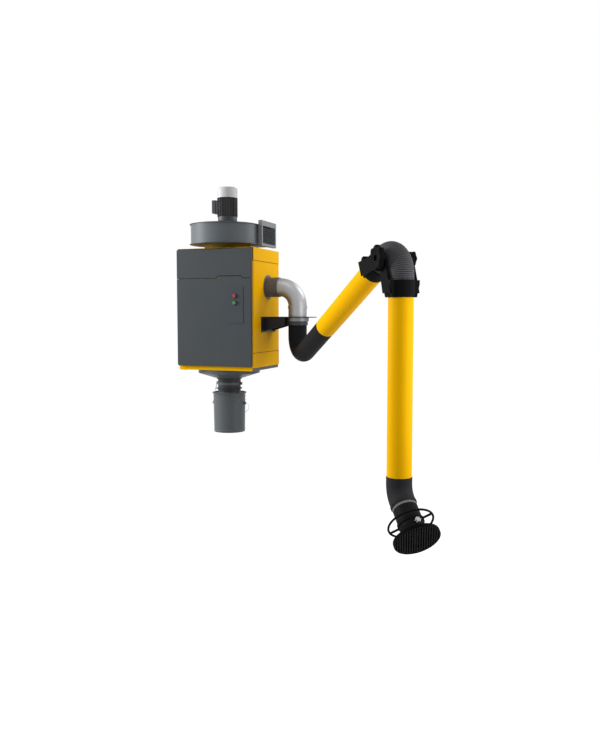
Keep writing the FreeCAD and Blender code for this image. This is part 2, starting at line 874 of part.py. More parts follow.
def dust_side():
    """Hopper under the tray, the sleeve below it and the band clamp round the sleeve."""
    skin = size.panel_sheet
    sub_part("hopper", turned([
        (size.hopper_radius, base_z), (size.hopper_radius, base_z - size.hopper_wall),
        (size.hopper_mouth, mouth_z),
        (size.hopper_mouth - skin, mouth_z), (size.hopper_mouth - skin, mouth_z + skin),
        (size.hopper_radius - skin, base_z - size.hopper_wall + skin), (size.hopper_radius - skin, base_z),
    ]), FreeCAD.Placement(vector(0, size.filter_y, 0), FreeCAD.Rotation()))
    bore = size.sleeve_radius - size.sleeve_sheet
    flange_z = mouth_z - size.sleeve_flange_height
    lip_top = (mouth_z - size.sleeve_lip_drop) + size.sleeve_flange_height
    sub_part("dust_sleeve", turned([
        (bore, sleeve_end), (size.sleeve_radius, sleeve_end),
        (size.sleeve_radius, (mouth_z - size.sleeve_lip_drop)),
        (size.sleeve_lip, (mouth_z - size.sleeve_lip_drop)), (size.sleeve_lip, lip_top),
        (size.sleeve_radius, lip_top),
        (size.sleeve_radius, flange_z), (size.sleeve_flange, flange_z), (size.sleeve_flange, mouth_z),
        (bore, mouth_z),
    ]), FreeCAD.Placement(vector(0, size.filter_y, 0), FreeCAD.Rotation()))


clamp_pin_x = -size.clamp_lug_reach + size.clamp_lug_width / 4
clamp_inner = size.sleeve_radius + size.seat_gap


def band_clamp():
    """Band round the sleeve, with a lug each side and a lever hinged on the left lug."""
    span = (clamp_z - size.clamp_height / 2, clamp_z + size.clamp_height / 2)
    half = size.clamp_lug_width / 2
    band = rod("z", clamp_inner + size.clamp_sheet, span, filter_at)
    lugs = box((-size.clamp_lug_reach, size.clamp_lug_reach),
            (size.filter_y - half, size.filter_y + half), span)
    hole = rod("z", clamp_inner, (span[0] - 1, span[1] + 1), filter_at)
    slot = box((-size.clamp_lug_reach - 1, -clamp_inner - size.clamp_sheet - 1),
               (size.filter_y - size.lever_thickness / 2 - size.fit_gap,
                size.filter_y + size.lever_thickness / 2 + size.fit_gap), (span[0] - 1, span[1] + 1))
    pin = rod("y", size.lever_pin_radius, (size.filter_y - half, size.filter_y + half),
            (clamp_pin_x, clamp_z))
    sub_part("clamp_band", fuse(cut(fuse(band, lugs), hole, slot), pin))

    thick = (size.filter_y - size.lever_thickness / 2, size.filter_y + size.lever_thickness / 2)
    eye = rod("y", size.lever_pin_radius * 2, thick, (clamp_pin_x, clamp_z))
    lean = size.lever_length / 4
    arm_points = [
        (clamp_pin_x - size.lever_pin_radius * 2, clamp_z),
        (clamp_pin_x + size.lever_pin_radius, clamp_z + size.lever_pin_radius),
        (clamp_pin_x + size.lever_pin_radius - lean, clamp_z - size.lever_length),
        (clamp_pin_x - size.lever_pin_radius * 3 - lean, clamp_z - size.lever_length),
    ]
    arm = plate("XZ_Plane", arm_points, thick)
    bore = rod("y", size.lever_pin_radius + size.run_gap, (thick[0] - 1, thick[1] + 1),
            (clamp_pin_x, clamp_z))
    sub_part("clamp_lever", cut(fuse(eye, arm), bore))


ear_z = rim_z - size.ear_drop
ear_seat = size.bucket_top_radius - size.bucket_sheet
ear_tip = ear_seat + size.ear_reach


def bucket_set():
    """Dust bucket with rolled rim, beads and ears, and its lid with a spigot up into the sleeve."""
    at_filter = FreeCAD.Placement(vector(0, size.filter_y, 0), FreeCAD.Rotation())
    base = rim_z - size.bucket_height
    slope = (size.bucket_top_radius - size.bucket_base_radius) / size.bucket_height

    def side(drop):
        return size.bucket_top_radius - slope * drop

    outer = [(as_size(0), base), (size.bucket_base_radius, base)]
    for drop in (size.bead_lower_drop, size.bead_middle_drop, size.bead_upper_drop):
        middle_z = rim_z - drop
        half = size.bead_height / 2
        outer += [(side(drop), middle_z - half), (side(drop) + size.bead_rise, middle_z),
                  (side(drop), middle_z + half)]
    roll = size.bucket_top_radius + size.rim_roll
    under = rim_z - size.rim_roll
    outer += [(size.bucket_top_radius, under), (roll, under + size.bucket_sheet),
              (roll, rim_z - size.bucket_sheet), (roll - size.bucket_sheet, rim_z)]
    inner = [(ear_seat, rim_z),
             (size.bucket_base_radius - size.bucket_sheet, base + size.bucket_sheet),
             (as_size(0), base + size.bucket_sheet)]
    shell = turned(outer + inner)
    shell.Placement = at_filter
    ears = []
    holes = []
    for side_sign in (-1, 1):
        near = sorted([side_sign * ear_seat, side_sign * ear_tip], key=float)
        ears.append(rod("x", size.ear_radius, near, (size.filter_y, ear_z)))
        deep = sorted([side_sign * (ear_seat + size.ear_reach / 3), side_sign * (ear_tip + 1)], key=float)
        holes.append(rod("x", size.bail_wire_radius + size.run_gap, deep, (size.filter_y, ear_z)))
    sub_part("dust_bucket", cut(fuse(shell, *ears), *holes))

    spigot = size.sleeve_radius - size.sleeve_sheet - size.fit_gap
    skin = size.lid_sheet
    seat = rim_z
    dip = seat - size.lid_dip
    well = ear_seat - size.fit_gap * 4
    sub_part("bucket_lid", turned([
        (spigot, sleeve_end + size.lid_spigot_rise), (spigot, seat + skin), (well - skin * 2, dip + skin),
        (well - skin, seat + skin), (size.lid_flange, seat + skin), (size.lid_flange, seat), (well, seat),
        (well - skin, dip), (well - skin * 2, dip), (spigot - skin, seat),
        (spigot - skin, sleeve_end + size.lid_spigot_rise),
    ]), at_filter)


def bucket_bail():
    """Wire bail hanging behind the bucket, its ends in the ears."""
    wide = float(size.bail_half_width)
    corner = float(size.bail_corner)
    tip = float(ear_seat + size.ear_reach / 3 + size.fit_gap)
    turn = FreeCAD.Vector(0, 0, -1)
    edges = []
    shoulder = wide - corner
    bow = corner * (1 - math.sqrt(0.5))
    for side in (1, -1):
        start, end = FreeCAD.Vector(side * tip, 0, 0), FreeCAD.Vector(side * shoulder, 0, 0)
        corner_mid = FreeCAD.Vector(side * (wide - bow), 0, -bow)
        corner_end = FreeCAD.Vector(side * wide, 0, -corner)
        edges.append([Part.LineSegment(start, end).toShape(),
                Part.Arc(end, corner_mid, corner_end).toShape()])
    loop = Part.Arc(FreeCAD.Vector(wide, 0, -corner), turn * (wide + corner),
            FreeCAD.Vector(-wide, 0, -corner))
    wire = Part.Wire(edges[0] + [loop.toShape()] + edges[1][::-1])
    piece = doc.addObject("Part::Feature", "bail")
    piece.Shape = round_sweep(wire, float(size.bail_wire_radius))
    swing = FreeCAD.Rotation(FreeCAD.Vector(1, 0, 0), float(size.bail_rest_angle))
    sub_part("bucket_bail", piece, FreeCAD.Placement(vector(0, size.filter_y, ear_z), swing))


fan_base = top_z + size.collar_height
fan_top = fan_base + size.scroll_height


def scroll_wire():
    """Scroll outline round the fan axis: three arcs that grow from the tongue to the outlet."""
    right, front = float(size.scroll_right), float(size.scroll_front)
    left, back = float(size.scroll_left), float(size.scroll_back)
    outlet = float(size.scroll_outlet_x)
    tongue = back - float(size.scroll_outlet_width)
    first = FreeCAD.Vector(right - front, 0, 0)
    second_radius = left + first.x
    second = FreeCAD.Vector(first.x, second_radius - front, 0)
    third_radius = back - second.y
    third = FreeCAD.Vector(third_radius - left, second.y, 0)
    start = FreeCAD.Vector(first.x + math.sqrt(front ** 2 - tongue ** 2), tongue, 0)
    bottom = FreeCAD.Vector(first.x, -front, 0)
    side = FreeCAD.Vector(-left, second.y, 0)
    top = FreeCAD.Vector(third.x, back, 0)
    corners = [FreeCAD.Vector(outlet, back, 0), FreeCAD.Vector(outlet, tongue, 0)]
    half = math.sqrt(0.5)
    arcs = [
        Part.Arc(start, first + FreeCAD.Vector(half, -half, 0) * front, bottom),
        Part.Arc(bottom, second + FreeCAD.Vector(-half, -half, 0) * second_radius, side),
        Part.Arc(side, third + FreeCAD.Vector(-half, half, 0) * third_radius, top),
        Part.LineSegment(top, corners[0]),
        Part.LineSegment(corners[0], corners[1]),
        Part.LineSegment(corners[1], start),
    ]
    return Part.Wire([arc.toShape() for arc in arcs])


def fan_housing():
    """Welded scroll casing: a curved wall between two rimmed plates, open at the outlet."""
    wall, rim = float(size.scroll_sheet), float(size.scroll_rim)
    height = float(size.scroll_height)
    outlet = float(size.scroll_outlet_x)
    wire = scroll_wire()
    up = FreeCAD.Vector(0, 0, 1)

    def slab(outline_wire, low, high):
        face = Part.Face(outline_wire)
        return face.extrude(up * (high - low)).translated(up * low)

    wide = wire.makeOffset2D(rim)
    inner = wire.makeOffset2D(-wall)
    reach = float(size.scroll_left) * 4
    trim = Part.makeBox(reach, reach * 2, height * 2, FreeCAD.Vector(outlet, -reach, -height / 2))
    shell = slab(wire, 0, height).fuse(slab(wide, 0, wall)).fuse(slab(wide, height - wall,
            height)).cut(trim)
    mouth_y = float(size.scroll_back) - float(size.scroll_outlet_width) + wall
    mouth = Part.makeBox(wall * 4, float(size.scroll_outlet_width) - wall * 2, height - wall * 2,
                         FreeCAD.Vector(outlet - wall * 2, mouth_y, wall))
    eye = Part.makeCylinder(float(size.fan_eye_radius), wall * 3, FreeCAD.Vector(0, 0, -wall))
    shaft_hole = Part.makeCylinder(float(size.shaft_radius * 2), wall * 3,
            FreeCAD.Vector(0, 0, height - wall * 2))
    shape = shell.cut(slab(inner, wall, height - wall)).cut(mouth).cut(eye).cut(shaft_hole)
    piece = doc.addObject("Part::Feature", "scroll")
    piece.Shape = shape.removeSplitter()
    sub_part("fan_housing", piece, FreeCAD.Placement(vector(fan_at[0], fan_at[1], fan_base),
            FreeCAD.Rotation()))


at_fan = FreeCAD.Placement(vector(fan_at[0], fan_at[1], 0), FreeCAD.Rotation())


def fan_inside():
    """Collar under the fan, inlet cone, impeller and discharge grille."""
    sub_part("fan_collar", ring(size.collar_radius - size.collar_sheet, size.collar_radius,
            (top_z, fan_base), fan_at))
    seat = fan_base + size.scroll_sheet
    skin = size.cone_sheet
    sub_part("fan_inlet_cone", turned([
        (size.cone_radius, seat), (size.cone_flange, seat), (size.cone_flange, seat + skin),
        (size.cone_radius + skin, seat + skin), (size.cone_radius + skin, seat + size.cone_rise),
        (size.cone_radius, seat + size.cone_rise),
    ]), at_fan)

    plate_top = fan_top - size.scroll_sheet - size.impeller_sheet
    plate_low = plate_top - size.impeller_sheet
    shroud = plate_low - size.impeller_width
    hub = ring(size.shaft_radius + size.run_gap, size.impeller_hub,
            (plate_low - size.impeller_hub, plate_top))
    disc = ring(size.shaft_radius + size.run_gap, size.impeller_radius, (plate_low, plate_top))
    eye = ring(size.impeller_eye, size.impeller_radius, (shroud - size.impeller_sheet, shroud))
    middle = (size.blade_inner + size.impeller_radius) / 2
    long = (size.impeller_radius - size.blade_inner) / 2
    blade = box((-long, long), (-size.impeller_sheet / 2, size.impeller_sheet / 2), (shroud, plate_low))
    blades = []
    for angle in around(count.impeller_blades):
        place = turned_about_z(angle).multVec(vector(middle, 0, 0))
        blades.append(moved(blade, FreeCAD.Placement(place,
                turned_about_z(angle + float(size.blade_lean)))))
    sub_part("impeller", fuse(hub, disc, eye, *blades), at_fan)

    face_x = fan_at[0] + size.scroll_outlet_x
    deep = (face_x, face_x + size.grille_depth)
    back = fan_at[1] + size.scroll_back
    near = back - size.scroll_outlet_width
    low, high = fan_base, fan_top + size.grille_top_rise
    rim = size.grille_rim
    frame = box(deep, (near - rim / 2, back + rim / 2), (low - rim / 2, high))
    window = box((deep[0] - 1, deep[1] + 1), (near + rim / 2, back - rim / 2),
            (low + rim / 2, high - rim * 2))
    pitch = (high - low - rim * 2.5) / (count.louvre_count + 1)
    tilt = FreeCAD.Rotation(FreeCAD.Vector(0, 1, 0), float(size.louvre_tilt))
    slat = box((-size.grille_depth * 0.4, size.grille_depth * 0.4), (near, back),
               (-size.louvre_sheet / 2, size.louvre_sheet / 2))
    slats = []
    for place in range(count.louvre_count):
        middle_z = low + rim / 2 + pitch * (place + 1)
        slats.append(moved(slat, FreeCAD.Placement(vector((deep[0] + deep[1]) / 2, 0, middle_z), tilt)))
    sub_part("outlet_grille", fuse(cut(frame, window), *slats))


motor_base = fan_top + size.motor_flange_height
motor_top = motor_base + size.motor_height


def motor():
    """Flanged motor: drive-end flange, finned frame, terminal box, bearings, cowl and the turning set."""
    bore = size.bearing_radius + size.seat_gap
    seat_low = motor_base - size.bearing_height * 1.5
    seat_high = motor_top - size.bearing_height
    sub_part("motor_flange", turned([
        (size.shaft_radius * 2, fan_top), (size.motor_flange_radius, fan_top),
        (size.motor_flange_radius, fan_top + size.motor_flange_plate),
        (size.motor_neck_radius, fan_top + size.motor_flange_plate * 2),
        (size.motor_neck_radius, motor_base),
        (bore, motor_base), (bore, seat_low), (size.shaft_radius * 2, seat_low),
    ]), at_fan)
    core = turned([
        (size.stator_bore, motor_base), (size.motor_core_radius, motor_base),
        (size.motor_core_radius, motor_top),
        (bore, motor_top), (bore, seat_high), (size.stator_bore, seat_high),
    ])
    fin = box((size.motor_core_radius - size.fin_sheet, size.fin_radius),
            (-size.fin_sheet / 2, size.fin_sheet / 2),
              (motor_base, motor_top))
    fins = spun(fin, count.fin_count)
    seat_z = (motor_base + size.motor_height - size.terminal_height) - size.bearing_height
    wide = (-size.terminal_width / 2, size.terminal_width / 2)
    tall = (seat_z, seat_z + size.terminal_height)
    pad = box((-size.terminal_seat, -size.motor_core_radius + size.fin_sheet),
              (wide[0] + size.fin_sheet, wide[1] - size.fin_sheet),
              (tall[0] + size.fin_sheet, tall[1] - size.fin_sheet))
    sub_part("motor_frame", fuse(core, pad, *fins), at_fan)
    sub_part("terminal_box", rounded_block((-size.terminal_seat - size.terminal_depth,
            -size.terminal_seat), wide, tall,
                                           size.fin_sheet * 2, size.fin_sheet), at_fan)
    inner = size.shaft_radius + size.run_gap
    lower = ring(inner, size.bearing_radius, (seat_low, seat_low + size.bearing_height))
    upper = ring(inner, size.bearing_radius, (seat_high, seat_high + size.bearing_height))
    sub_part("motor_bearings", fuse(lower, upper), at_fan)

    dome = motor_top + size.cowl_height
    skin = size.cowl_sheet
    sub_part("fan_cowl", turned([
        (size.cowl_radius, motor_top), (size.cowl_radius, dome - size.cowl_dome),
        (size.cowl_radius - size.cowl_dome, dome - size.cowl_dome / 3), (as_size(0), dome),
        (as_size(0), dome - skin),
        (size.cowl_radius - size.cowl_dome, dome - size.cowl_dome / 3 - skin),
        (size.cowl_radius - skin, dome - size.cowl_dome - skin), (size.cowl_radius - skin, motor_top),
    ]), at_fan)

    rotor_low = motor_base + (size.motor_height - size.rotor_height) / 2 - size.bearing_height / 2
    plate_low = fan_top - size.scroll_sheet - size.impeller_sheet * 2
    cool = (motor_top + size.bearing_height, motor_top + size.bearing_height + size.cooling_height)
    shaft = rod("z", size.shaft_radius, (plate_low - size.impeller_hub, cool[1]), (as_size(0), as_size(0)))
    rotor = rod("z", size.rotor_radius, (rotor_low, rotor_low + size.rotor_height),
            (as_size(0), as_size(0)))
    sub_part("rotor_shaft", fuse(shaft, rotor), at_fan)
    hub = ring(size.shaft_radius + size.run_gap, size.shaft_radius * 1.8, cool)
    vane = box((size.shaft_radius * 1.5, size.cooling_radius),
            (-size.fin_sheet / 2, size.fin_sheet / 2), cool)
    sub_part("cooling_fan", fuse(hub, *spun(vane, count.cooling_blades)), at_fan)


bracket_low = bracket_z - size.bracket_plate
housing_low = bracket_low - size.swivel_housing_height
lip_top = housing_low + size.swivel_lip_height
sleeve_top = lip_top + size.fit_gap + size.swivel_flange_height
ring_low = housing_low - size.swivel_ring_height
spigot_low = ring_low - size.spigot_length
spigot_radius = size.hose_radius - size.hose_sheet - size.fit_gap
base_corner_z = ring_low - size.base_drop
fork_end = size.inner_tube_start + size.hose_tuck + size.fork_overrun
swivel_at = (swivel_x, size.inlet_y)


def inlet_duct():
    """Collar on the right wall, the elbow that drops to the bracket, and a band over the duct's joint."""
    seat = half_w
    bore = size.duct_radius + size.fit_gap
    centre = (size.inlet_y, inlet_z)
    wall_x = seat - size.seam_step
    flange = rod("x", size.duct_collar_flange, (wall_x, seat + size.duct_flange_sheet), centre)
    stub = rod("x", size.duct_collar_radius, (wall_x, seat + size.duct_collar_length), centre)
    hole = rod("x", bore, (wall_x - 1, seat + size.duct_collar_length + 1), centre)
    sub_part("inlet_collar", cut(fuse(flange, stub), hole))

    start_x = seat + size.duct_collar_length - size.duct_overlap

    points = [vector(start_x, size.inlet_y, inlet_z), vector(swivel_x, size.inlet_y, inlet_z),
              vector(swivel_x, size.inlet_y, bracket_z)]
    path = path_wire(points, [float(size.elbow_bend)])
    piece = doc.addObject("Part::Feature", "duct")
    outer = round_sweep(path, float(size.duct_radius))
    piece.Shape = outer.cut(round_sweep(path, float(size.duct_radius - size.duct_sheet)))
    sub_part("inlet_elbow", piece)
    band_z = bracket_z + size.band_rise
    sub_part("duct_clamp", ring(size.duct_radius + size.seat_gap, size.band_radius,
                                (band_z, band_z + size.band_height), swivel_at))


def arm_bracket():
    """Bracket on the right wall: back plate, top plate with a tapered tip, and two gussets."""
    wall_x = half_w - size.seam_step
    plate_x = half_w + size.bracket_back
    low_z = bracket_z - size.bracket_height
    half = size.bracket_width / 2
    back = box((wall_x, plate_x), (size.inlet_y - half, size.inlet_y + half), (low_z, bracket_z))
    root, neck = size.bracket_root_width / 2, size.bracket_neck_width / 2
    tip = size.bracket_tip_width / 2
    end_x = swivel_x + size.bracket_tip
    shoulder = swivel_x + size.bracket_tip / 3
    points = [
        (wall_x, size.inlet_y - root), (swivel_x, size.inlet_y - neck), (shoulder, size.inlet_y - neck),
        (end_x, size.inlet_y - tip), (end_x, size.inlet_y + tip), (shoulder, size.inlet_y + neck),
        (swivel_x, size.inlet_y + neck), (wall_x, size.inlet_y + root),
    ]
    shelf = plate("XY_Plane", points, (bracket_low, bracket_z))
    gussets = []
    for side in (-1, 1):
        middle = size.inlet_y + side * size.gusset_spacing / 2
        thick = (middle - size.gusset_sheet / 2, middle + size.gusset_sheet / 2)
        corners = [
            (wall_x, bracket_z), (wall_x, bracket_low - size.gusset_root),
            (plate_x, bracket_low - size.gusset_root),
            (plate_x + size.gusset_length, bracket_low - size.gusset_tip),
            (plate_x + size.gusset_length, bracket_z),
        ]
        gussets.append(plate("XZ_Plane", corners, thick))
    hole = rod("z", size.duct_radius - size.duct_sheet, (bracket_low - 1, bracket_z + 1), swivel_at)
    sub_part("arm_bracket", cut(fuse(back, shelf, *gussets), hole))


# The arm's own frames: its upright plane is turned about the swivel, and each tube has Z along its axis.
rise = math.radians(float(size.inner_rise))
fold_half = (math.pi / 2 - rise) / 2
arm_frame = FreeCAD.Placement(
    vector(swivel_x, size.inlet_y, 0),
    FreeCAD.Rotation(FreeCAD.Vector(0, 0, 1), float(size.arm_yaw) - 90.0),
)
inner_frame = arm_frame * FreeCAD.Placement(
    vector(0, 0, base_corner_z), FreeCAD.Rotation(FreeCAD.Vector(0, 1, 0), 90.0 - float(size.inner_rise)))
outer_frame = arm_frame * FreeCAD.Placement(vector(size.arm_reach, 0, 0), FreeCAD.Rotation())
corner_along = float(size.arm_reach) / math.cos(rise)
corner_z = float(base_corner_z) + float(size.arm_reach) * math.tan(rise)
elbow_back = float(size.elbow_offset) / math.tan(fold_half)
elbow_along = corner_along - elbow_back
elbow_z = corner_z - elbow_back
base_mid = float(size.base_bend) / math.sin(fold_half) - float(size.base_bend)
base_pivot = FreeCAD.Vector(base_mid * math.sin(fold_half), 0, 0)
base_pivot.z = float(base_corner_z) + base_mid * math.cos(fold_half)
base_pivot_along = base_mid * math.cos(fold_half)
base_pivot_side = -base_mid * math.sin(fold_half)
fork_inner = size.pivot_spread
fork_outer = size.pivot_spread + size.pivot_plate
yoke_inner = fork_outer + size.seat_gap * 5
yoke_outer = yoke_inner + size.pivot_plate
half_bar = size.pivot_height / 2
inner_collar = corner_along - float(size.inner_setback)
outer_collar = corner_z - float(size.outer_setback)
outer_tube_end = as_size(outer_collar) - size.outer_length
hood_pivot_z = outer_tube_end - size.hood_drop


def pivot_bars(points, inner, outer):
    """A pair of flat bars, one each side of the arm's plane, with the same outline."""
    return [plate("XZ_Plane", points, (inner, outer)), plate("XZ_Plane", points, (-outer, -inner))]


def swivel():
    """Housing ring under the bracket, and the sleeve that turns in it and carries the base pivot."""
    sub_part("swivel_housing", turned([
        (size.swivel_journal, housing_low), (size.swivel_outer, housing_low),
        (size.swivel_outer, bracket_low),
        (size.swivel_flange + size.fit_gap, bracket_low), (size.swivel_flange + size.fit_gap, lip_top),
        (size.swivel_journal, lip_top),
    ]), FreeCAD.Placement(vector(swivel_x, size.inlet_y, 0), FreeCAD.Rotation()))
    journal = size.swivel_journal - size.fit_gap
    tube = turned([
        (size.swivel_bore, spigot_low), (spigot_radius, spigot_low), (spigot_radius, ring_low),
        (size.swivel_ring_radius, ring_low), (size.swivel_ring_radius, housing_low - size.fit_gap),
        (journal, housing_low - size.fit_gap), (journal, lip_top + size.fit_gap),
        (size.swivel_flange, lip_top + size.fit_gap), (size.swivel_flange, sleeve_top),
        (size.swivel_bore, sleeve_top),
    ])
    reach = size.swivel_bore + size.fit_gap * 5
    bridge = box((-reach, reach), (-yoke_outer, yoke_outer), (ring_low, ring_low + size.pivot_plate * 2))
    x, z = base_pivot.x, base_pivot.z
    points = [
        (-half_bar, ring_low + size.pivot_plate), (-half_bar, spigot_low), (x - half_bar, z),
        (x + half_bar, z), (half_bar, spigot_low), (half_bar, ring_low + size.pivot_plate),
    ]
    bars = pivot_bars(points, yoke_inner, yoke_outer)
    bosses = []
    for low, high in ((yoke_inner, yoke_outer), (-yoke_outer, -yoke_inner)):
        bosses.append(rod("y", half_bar, (low, high), (x, z)))
    pin = rod("y", size.pivot_pin_radius, (-yoke_outer, yoke_outer), (x, z))
    sub_part("swivel_sleeve", fuse(tube, bridge, pin, *bars, *bosses), arm_frame)


def base_fork():
    """Bars from the base pivot up the hose into the inner tube, with two spiders that centre them."""
    side, along = base_pivot_side, base_pivot_along
    bend = float(size.base_bend) / math.tan(fold_half)
    points = [
        (side - half_bar, along), (-half_bar, bend), (-half_bar, fork_end),
        (half_bar, fork_end), (half_bar, bend), (side + half_bar, along),
    ]
    bars = pivot_bars(points, fork_inner, fork_outer)
    bosses = []
    for low, high in ((fork_inner, fork_outer), (-fork_outer, -fork_inner)):
        bosses.append(rod("y", half_bar, (low, high), (side, along)))
    rim = size.tube_radius - size.tube_sheet - size.seat_gap
    end = fork_end
    spider_z = (end - size.spider_sheet, end)
    hoop = ring(rim - size.spider_sheet, rim, (end - size.spider_sheet * 4, end))
    web = box((-half_bar, half_bar), (-rim + size.spider_sheet / 2, rim - size.spider_sheet / 2), spider_z)
    hole = rod("y", size.pivot_pin_radius + size.run_gap, (-yoke_outer, yoke_outer), (side, along))
    sub_part("base_fork", cut(fuse(*bars, *bosses, hoop, web), hole), inner_frame)


def plane_point(along_s, height):
    return FreeCAD.Vector(float(along_s), 0, float(height))


def hose_feature(label, shape):
    piece = doc.addObject("Part::Feature", "hose")
    piece.Shape = shape
    sub_part(label, piece, arm_frame)


def along_inner(distance):
    """A point on the inner tube's axis, in the arm's plane."""
    return plane_point(distance * math.cos(rise), float(base_corner_z) + distance * math.sin(rise))


def base_hose():
    """Smooth hose from the swivel spigot, round the bend and into the inner tube."""
    corner = plane_point(0, base_corner_z)
    points = [plane_point(0, ring_low - size.seat_gap), corner,
              along_inner(float(size.inner_tube_start + size.hose_tuck))]
    path = path_wire(points, [float(size.base_bend)])
    outer = round_sweep(path, float(size.hose_radius))
    bore = round_sweep(path, float(size.hose_radius - size.hose_sheet))
    hose_feature("base_hose", outer.cut(bore))


def elbow_hose():
    """Ribbed hose over the elbow: each rib is four circles, square to the hose's line."""
    seat = float(size.knuckle_seat + size.fit_gap)
    points = [along_inner(inner_collar + seat), plane_point(size.arm_reach, corner_z),
              plane_point(size.arm_reach, outer_collar + seat)]
    path = path_wire(points, [float(size.elbow_hose_bend)])
    ribs = round(path.Length / float(size.elbow_rib_pitch))
    pitch = path.Length / ribs
    root, crest = float(size.elbow_hose_root), float(size.elbow_hose_crest)
    across = FreeCAD.Vector(0, 1, 0)
    edges = path.OrderedEdges
    starts = [sum(edge.Length for edge in edges[:place]) for place in range(len(edges))]

    def station(distance):
        for edge, start in zip(edges, starts):
            if distance <= start + edge.Length + 1e-6:
                place = edge.getParameterByLength(min(max(distance - start, 0.0), edge.Length))
                return edge.valueAt(place), edge.tangentAt(place)
        return edges[-1].valueAt(edges[-1].LastParameter), edges[-1].tangentAt(edges[-1].LastParameter)

    circles = []
    for rib in range(ribs):
        for part, radius in ((0.0, root), (0.25, root), (0.4, crest), (0.85, crest)):
            circles.append((rib * pitch + part * pitch, radius))
    circles.append((path.Length, root))
    wires = []
    for distance, radius in circles:
        centre, along = station(distance)
        frame = FreeCAD.Rotation(across, along.cross(across), along, "ZXY")
        wire = Part.Wire([Part.makeCircle(radius)])
        wire.Placement = FreeCAD.Placement(centre, frame)
        wires.append(wire)
    outer = Part.makeLoft(wires, True, True)
    bore = round_sweep(path, float(size.elbow_hose_bore))
    hose_feature("elbow_hose", outer.cut(bore))


def knuckle(label, toward, start, pivot_z, ear_low, placement):
    """Moulded elbow half: a cuff over the tube's end, flared sides and two ears out to the pivot."""
    pivot_x = toward * size.elbow_offset
    ear_high = ear_low + size.ear_sheet
    end = start + size.knuckle_length
    cuff = turned([
        (as_size(0), start), (size.knuckle_radius, start),
        (size.knuckle_mouth_radius, start + size.knuckle_seat),
        (size.knuckle_mouth_radius, end), (as_size(0), end),
    ])
    pieces = [cuff]
    holes = [
        rod("z", size.tube_radius + size.seat_gap, (start - 1, end), (as_size(0), as_size(0))),
        rod("z", size.elbow_hose_crest + size.fit_gap, (start + size.knuckle_seat, end + 1),
        (as_size(0), as_size(0))),
    ]
    half = size.ear_root_width / 2
    root_z = start + size.knuckle_seat
    for side in (-1, 1):
        flare = [
            (side * (size.knuckle_radius - size.ear_sheet), start), (side * size.knuckle_radius, start),
            (side * ear_high, end - size.knuckle_seat), (side * ear_high, end),
            (side * (size.knuckle_radius - size.ear_sheet), end),
        ]
        pieces.append(plate("YZ_Plane", flare, (-half, half)))
        thick = sorted([side * ear_low, side * ear_high], key=float)
        boss = size.ear_boss_radius
        ear = [(-half, root_z), (half, root_z), (pivot_x + boss, pivot_z), (pivot_x - boss, pivot_z)]
        pieces.append(cut(plate("XZ_Plane", ear, thick),
                rod("z", ear_low, (start, root_z + size.knuckle_seat),
                                                            (as_size(0), as_size(0)))))
        pieces.append(rod("y", boss, thick, (pivot_x, pivot_z)))
        holes.append(rod("y", size.elbow_bolt_radius + size.run_gap, (thick[0] - 1, thick[1] + 1),
                (pivot_x, pivot_z)))
    sub_part(label, cut(fuse(*pieces), *holes), placement)


def arm_tubes():
    """The two painted tubes, the elbow's two halves and its pivot bolts."""
    bore = size.tube_radius - size.tube_sheet
    origin = (as_size(0), as_size(0))
    end = as_size(inner_collar) + size.knuckle_seat
    sub_part("inner_tube", ring(bore, size.tube_radius, (size.inner_tube_start, end), origin), inner_frame)
    top = as_size(outer_collar) + size.knuckle_seat
    sub_part("outer_tube", ring(bore, size.tube_radius, (outer_tube_end, top), origin), outer_frame)
    ear_low = size.ear_clear
    far_low = ear_low + size.ear_sheet + size.seat_gap * 2
    knuckle("outer_knuckle", -1, as_size(outer_collar), elbow_z, ear_low, outer_frame)
    knuckle("inner_knuckle", 1, as_size(inner_collar), elbow_along, far_low, inner_frame)
    bolts = []
    centre = (-size.elbow_offset, elbow_z)
    head = far_low + size.ear_sheet + size.seat_gap
    for side in (-1, 1):
        shank = sorted([side * (ear_low - size.seat_gap), side * head], key=float)
        cap = sorted([side * head, side * (head + size.elbow_head_height)], key=float)
        nut = sorted([side * (ear_low - size.seat_gap), side * (ear_low - size.elbow_bolt_radius)],
                key=float)
        bolts.append(rod("y", size.elbow_bolt_radius, shank, centre))
        bolts.append(rod("y", size.elbow_head_radius, cap, centre))
        bolts.append(rod("y", size.elbow_bolt_radius * 1.6, nut, centre))
    sub_part("elbow_bolts", fuse(*bolts), outer_frame)


# The hood hangs from a pivot on the outer tube's axis; its Z points out of the mouth and Y is the tilt axis.
heading = math.radians(float(size.hood_heading))
tilt = math.radians(float(size.hood_tilt))
hood_along = FreeCAD.Vector(math.sin(tilt) * math.cos(heading), math.sin(tilt) * math.sin(heading),
        -math.cos(tilt))
hood_axle = FreeCAD.Vector(math.sin(heading), -math.cos(heading), 0)
hood_side = hood_axle.cross(hood_along)
hood_centre = outer_frame.multVec(vector(0, 0, hood_pivot_z))
hood_frame = FreeCAD.Placement(hood_centre, FreeCAD.Rotation(hood_side, hood_axle, hood_along, "ZYX"))
hang_side = hood_axle.cross(FreeCAD.Vector(0, 0, -1))
hang_frame = FreeCAD.Placement(
    hood_centre, FreeCAD.Rotation(hang_side, hood_axle, FreeCAD.Vector(0, 0, -1), "ZYX"))
hood_bore = size.hood_hose_radius - size.hose_sheet
tube_gap = hood_pivot_z - outer_tube_end


